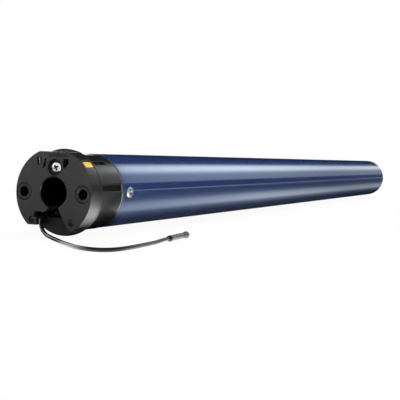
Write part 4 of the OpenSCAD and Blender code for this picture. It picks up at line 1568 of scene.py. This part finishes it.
@dataclass
class Studio:
    """The camera, the floor, the white surroundings, the lamps and the cards that the gloss shows."""

    position: Point = (-0.405, -0.2737, 0.0254)
    angles: Point = (24.32, -3.14, 2.04)
    focal_px: float = 860.0
    frame_px: float = 400.0
    sensor_mm: float = 36.0
    floor_z: float = -0.0251
    floor_reach: float = 12.0
    ambient: float = 0.45
    near_glow: float = 0.95
    head_arch: tuple[Pair, ...] = (
        (-2.6, 0.5), (0, 0.42), (16, 0.32), (27, 0.37), (38, 0.45), (49, 0.5), (60, 0.5), (73, 0.62),
        (80, 0.45), (86, 0.12), (98, 0), (140, 0), (146, 4), (172, 4), (176, 0),
    )
    tube_arch: tuple[Pair, ...] = (
        (-2.6, 0.12), (-0.6, 0.12), (-0.4, 1.3), (1.5, 1.3), (1.7, 0), (23.5, 0), (24.5, 0.75),
        (50, 0.85), (60, 1.9), (66, 2.8), (77, 2.8), (84, 1.9), (92, 0.6), (98, 0), (176, 0),
    )
    tube_share: tuple[Pair, ...] = (
        (0.815, 0.45), (0.875, 0.5), (0.905, 1.0), (1.2, 1.0), (2.2, 0.45), (3.3, 0.45),
    )
    head_floor: tuple[Pair, ...] = (
        (-0.52, 0.7), (-0.3, 0.9), (-0.112, 1.4), (-0.068, 2), (-0.049, 3), (-0.038, 3.8), (-0.03, 3.6),
        (-0.024, 2.8), (-0.019, 0.4), (-0.015, 0), (1, 0),
    )
    crown_floor: tuple[Pair, ...] = (
        (-0.52, 0.08), (-0.2, 0.09), (-0.087, 0.14), (-0.055, 0.14), (-0.039, 0.25), (-0.03, 0.24),
        (-0.023, 0.04), (-0.017, 0), (1, 0),
    )
    tube_floor: tuple[Pair, ...] = (
        (-0.52, 0.12), (-0.09, 0.12), (-0.06, 0.25), (-0.05, 0.5), (-0.04, 1), (-0.033, 1.2),
        (-0.0255, 1.15), (-0.0215, 0.25), (-0.015, 0.03), (1, 0),
    )
    floor_share: tuple[Pair, ...] = ((0.0, 1.0), (0.33, 1.0), (0.62, 0.45), (3.3, 0.45))
    bounds_y: tuple[float, ...] = (
        -0.52, -0.15, -0.107, -0.066, -0.048, -0.037, -0.033, -0.0295, -0.0237, -0.019, -0.012, 1.0,
    )
    crown_from: tuple[float, ...] = (
        0.83, 0.221, 0.151, 0.088, 0.062, 0.049, 0.045, 0.0415, 0.0375, 0.0355, 0.034, 0.034,
    )
    tube_from: tuple[float, ...] = (
        0.88, 0.268, 0.195, 0.127, 0.098, 0.079, 0.066, 0.062, 0.0605, 0.0605, 0.0605, 0.0605,
    )

    def build(self) -> None:
        """Sets the camera, the floor, the world, the lamps and the cards."""
        self.camera()
        self.floor()
        self.world()
        self.lamps()
        self.cards()
        bpy.context.scene.view_settings.view_transform = "Standard"

    def camera(self) -> None:
        """Adds the camera at the fitted place. Its angles are yaw, pitch and roll in degrees."""
        yaw, pitch, roll = (math.radians(angle) for angle in self.angles)
        ahead = Vector(
            (math.cos(pitch) * math.cos(yaw), math.cos(pitch) * math.sin(yaw), math.sin(pitch))
        )
        right = ahead.cross(Vector((0.0, 0.0, 1.0))).normalized()
        up = right.cross(ahead)
        side = right * math.cos(roll) + up * math.sin(roll)
        top = up * math.cos(roll) - right * math.sin(roll)
        data = bpy.data.cameras.new("photo_camera")
        data.sensor_width = self.sensor_mm
        data.lens = self.focal_px / self.frame_px * self.sensor_mm
        data.clip_start, data.clip_end = 0.01, 50.0
        bpy.context.scene.camera = stand("photo_camera", data, (side, top, -ahead), self.position)

    def floor(self) -> None:
        """Adds the pale floor. It glows white to the camera further out, and keeps a soft shadow."""
        ends = (-self.floor_reach, self.floor_reach)
        rows = [[Vector((x, y, self.floor_z)) for y in ends] for x in ends]
        made = Shape().grid(rows, closed=False).piece("studio_floor")
        graph = Graph("pale_floor")
        graph.feed({"Base Color": (0.82, 0.82, 0.82, 1.0), "Roughness": 0.9, "Specular IOR Level": 0.0})
        glow = graph.node("ShaderNodeEmission", {"Strength": 1.0})
        away = graph.between(graph.radial(), self.near_glow, 1.0, 0.08, 0.5)
        seen = graph.node("ShaderNodeLightPath").outputs["Is Camera Ray"]
        graph.show("Material Output", graph.maths("MULTIPLY", seen, away), graph.shader, glow)
        made.data.materials.append(graph.material)

    def world(self) -> None:
        """Sets a soft grey world that shows white to the camera, to gloss and through glass."""
        world = bpy.data.worlds.new("studio_world")
        world.use_nodes = True
        bpy.context.scene.world = world
        tree = Tree(world.node_tree)
        plain = world.node_tree.nodes["Background"]
        tree.fill(plain, {"Color": (*WHITE, 1.0), "Strength": self.ambient})
        shown = tree.node("ShaderNodeBackground", {"Color": (*WHITE, 1.0), "Strength": 1.0})
        rays = tree.node("ShaderNodeLightPath").outputs
        seen = rays["Is Camera Ray"]
        for name in ("Is Glossy Ray", "Is Transmission Ray"):
            seen = tree.maths("MAXIMUM", seen, rays[name])
        tree.show("World Output", seen, plain, shown)

    @staticmethod
    def lamp(name: str, centre: Point, aim: Point, size: Pair, radiance: float) -> None:
        """Adds one soft rectangular lamp.

        Args:
            name: The lamp's name.
            centre: Its middle.
            aim: A point that it faces.
            size: Its length along X and its width.
            radiance: Its brightness, where 1 is a white surface in plain light.
        """
        data = bpy.data.lights.new(name, "AREA")
        data.shape = "RECTANGLE"
        data.size, data.size_y = size
        data.energy = radiance * math.pi * size[0] * size[1]
        back = (Vector(centre) - Vector(aim)).normalized()
        along = Vector((1.0, 0.0, 0.0))
        side = (along - along.dot(back) * back).normalized()
        made = stand(name, data, (side, back.cross(side), back), centre)
        made.visible_camera = made.visible_glossy = False

    def lamps(self) -> None:
        """Adds a long strip overhead and a panel behind the camera."""
        reach, width = 0.5, 24.0
        centre = around(1.4, reach, math.radians(180.0 - 78.0))
        size = (3.8, 2 * reach * math.tan(math.radians(width / 2)))
        self.lamp("overhead_strip", centre, (1.4, 0.0, 0.0), size, 3.2)
        self.lamp("front_panel", (-1.6, -0.9, 0.7), (0.0, 0.0, 0.0), (1.2, 1.2), 1.2)

    def cards(self) -> None:
        """Bends two graded cards over the part and lays three side by side on the floor."""
        reach, steps, first, span = 0.5, 24, -2.6, 178.6
        start, middle, end, warm = -0.4, 0.815, 3.3, 9.0
        angles = [math.radians(first + span * step / steps) for step in range(steps + 1)]
        low = self.floor_z + 0.4 * MM

        def arch(*edges: float) -> list[list[Vector]]:
            """Gives the rows of a card bent about the tube."""
            return [[Vector((x, -reach * math.cos(a), reach * math.sin(a))) for a in angles] for x in edges]

        def flat(*edges: Sequence[float]) -> list[list[Vector]]:
            """Gives the rows of a card on the floor between two edges."""
            return [[Vector((x, y, low)) for x, y in zip(edge, self.bounds_y)] for edge in edges]

        near, far = ([x] * len(self.bounds_y) for x in (-0.06, end))
        plain = ((start, 1.0), (end, 1.0))
        for card in (
            Card("head_arch", arch(start, middle), self.head_arch, plain, warm, turning=True),
            Card("tube_arch", arch(middle, end), self.tube_arch, self.tube_share, 0.92, turning=True),
            Card("head_floor", flat(near, self.crown_from), self.head_floor, plain, warm),
            Card("crown_floor", flat(self.crown_from, self.tube_from), self.crown_floor, plain, warm),
            Card("tube_floor", flat(self.tube_from, far), self.tube_floor, self.floor_share, 0.09),
        ):
            card.build()


def main() -> None:
    """Builds the motor's looks in order."""
    logging.basicConfig(level=logging.INFO, format="%(message)s")
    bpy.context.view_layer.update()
    Studio().build()
    wardrobe = Wardrobe(FINISHES)
    wardrobe.dress_nodes()
    Pigtail().build(wardrobe)
    tube = Tube()
    for assembly in (Head(), Crown(), tube, DriveEnd(), Electronics(), CellPack(), Motor()):
        assembly.build(wardrobe)
    Gearbox().build(wardrobe, tube)


if __name__ == "__main__":
    main()
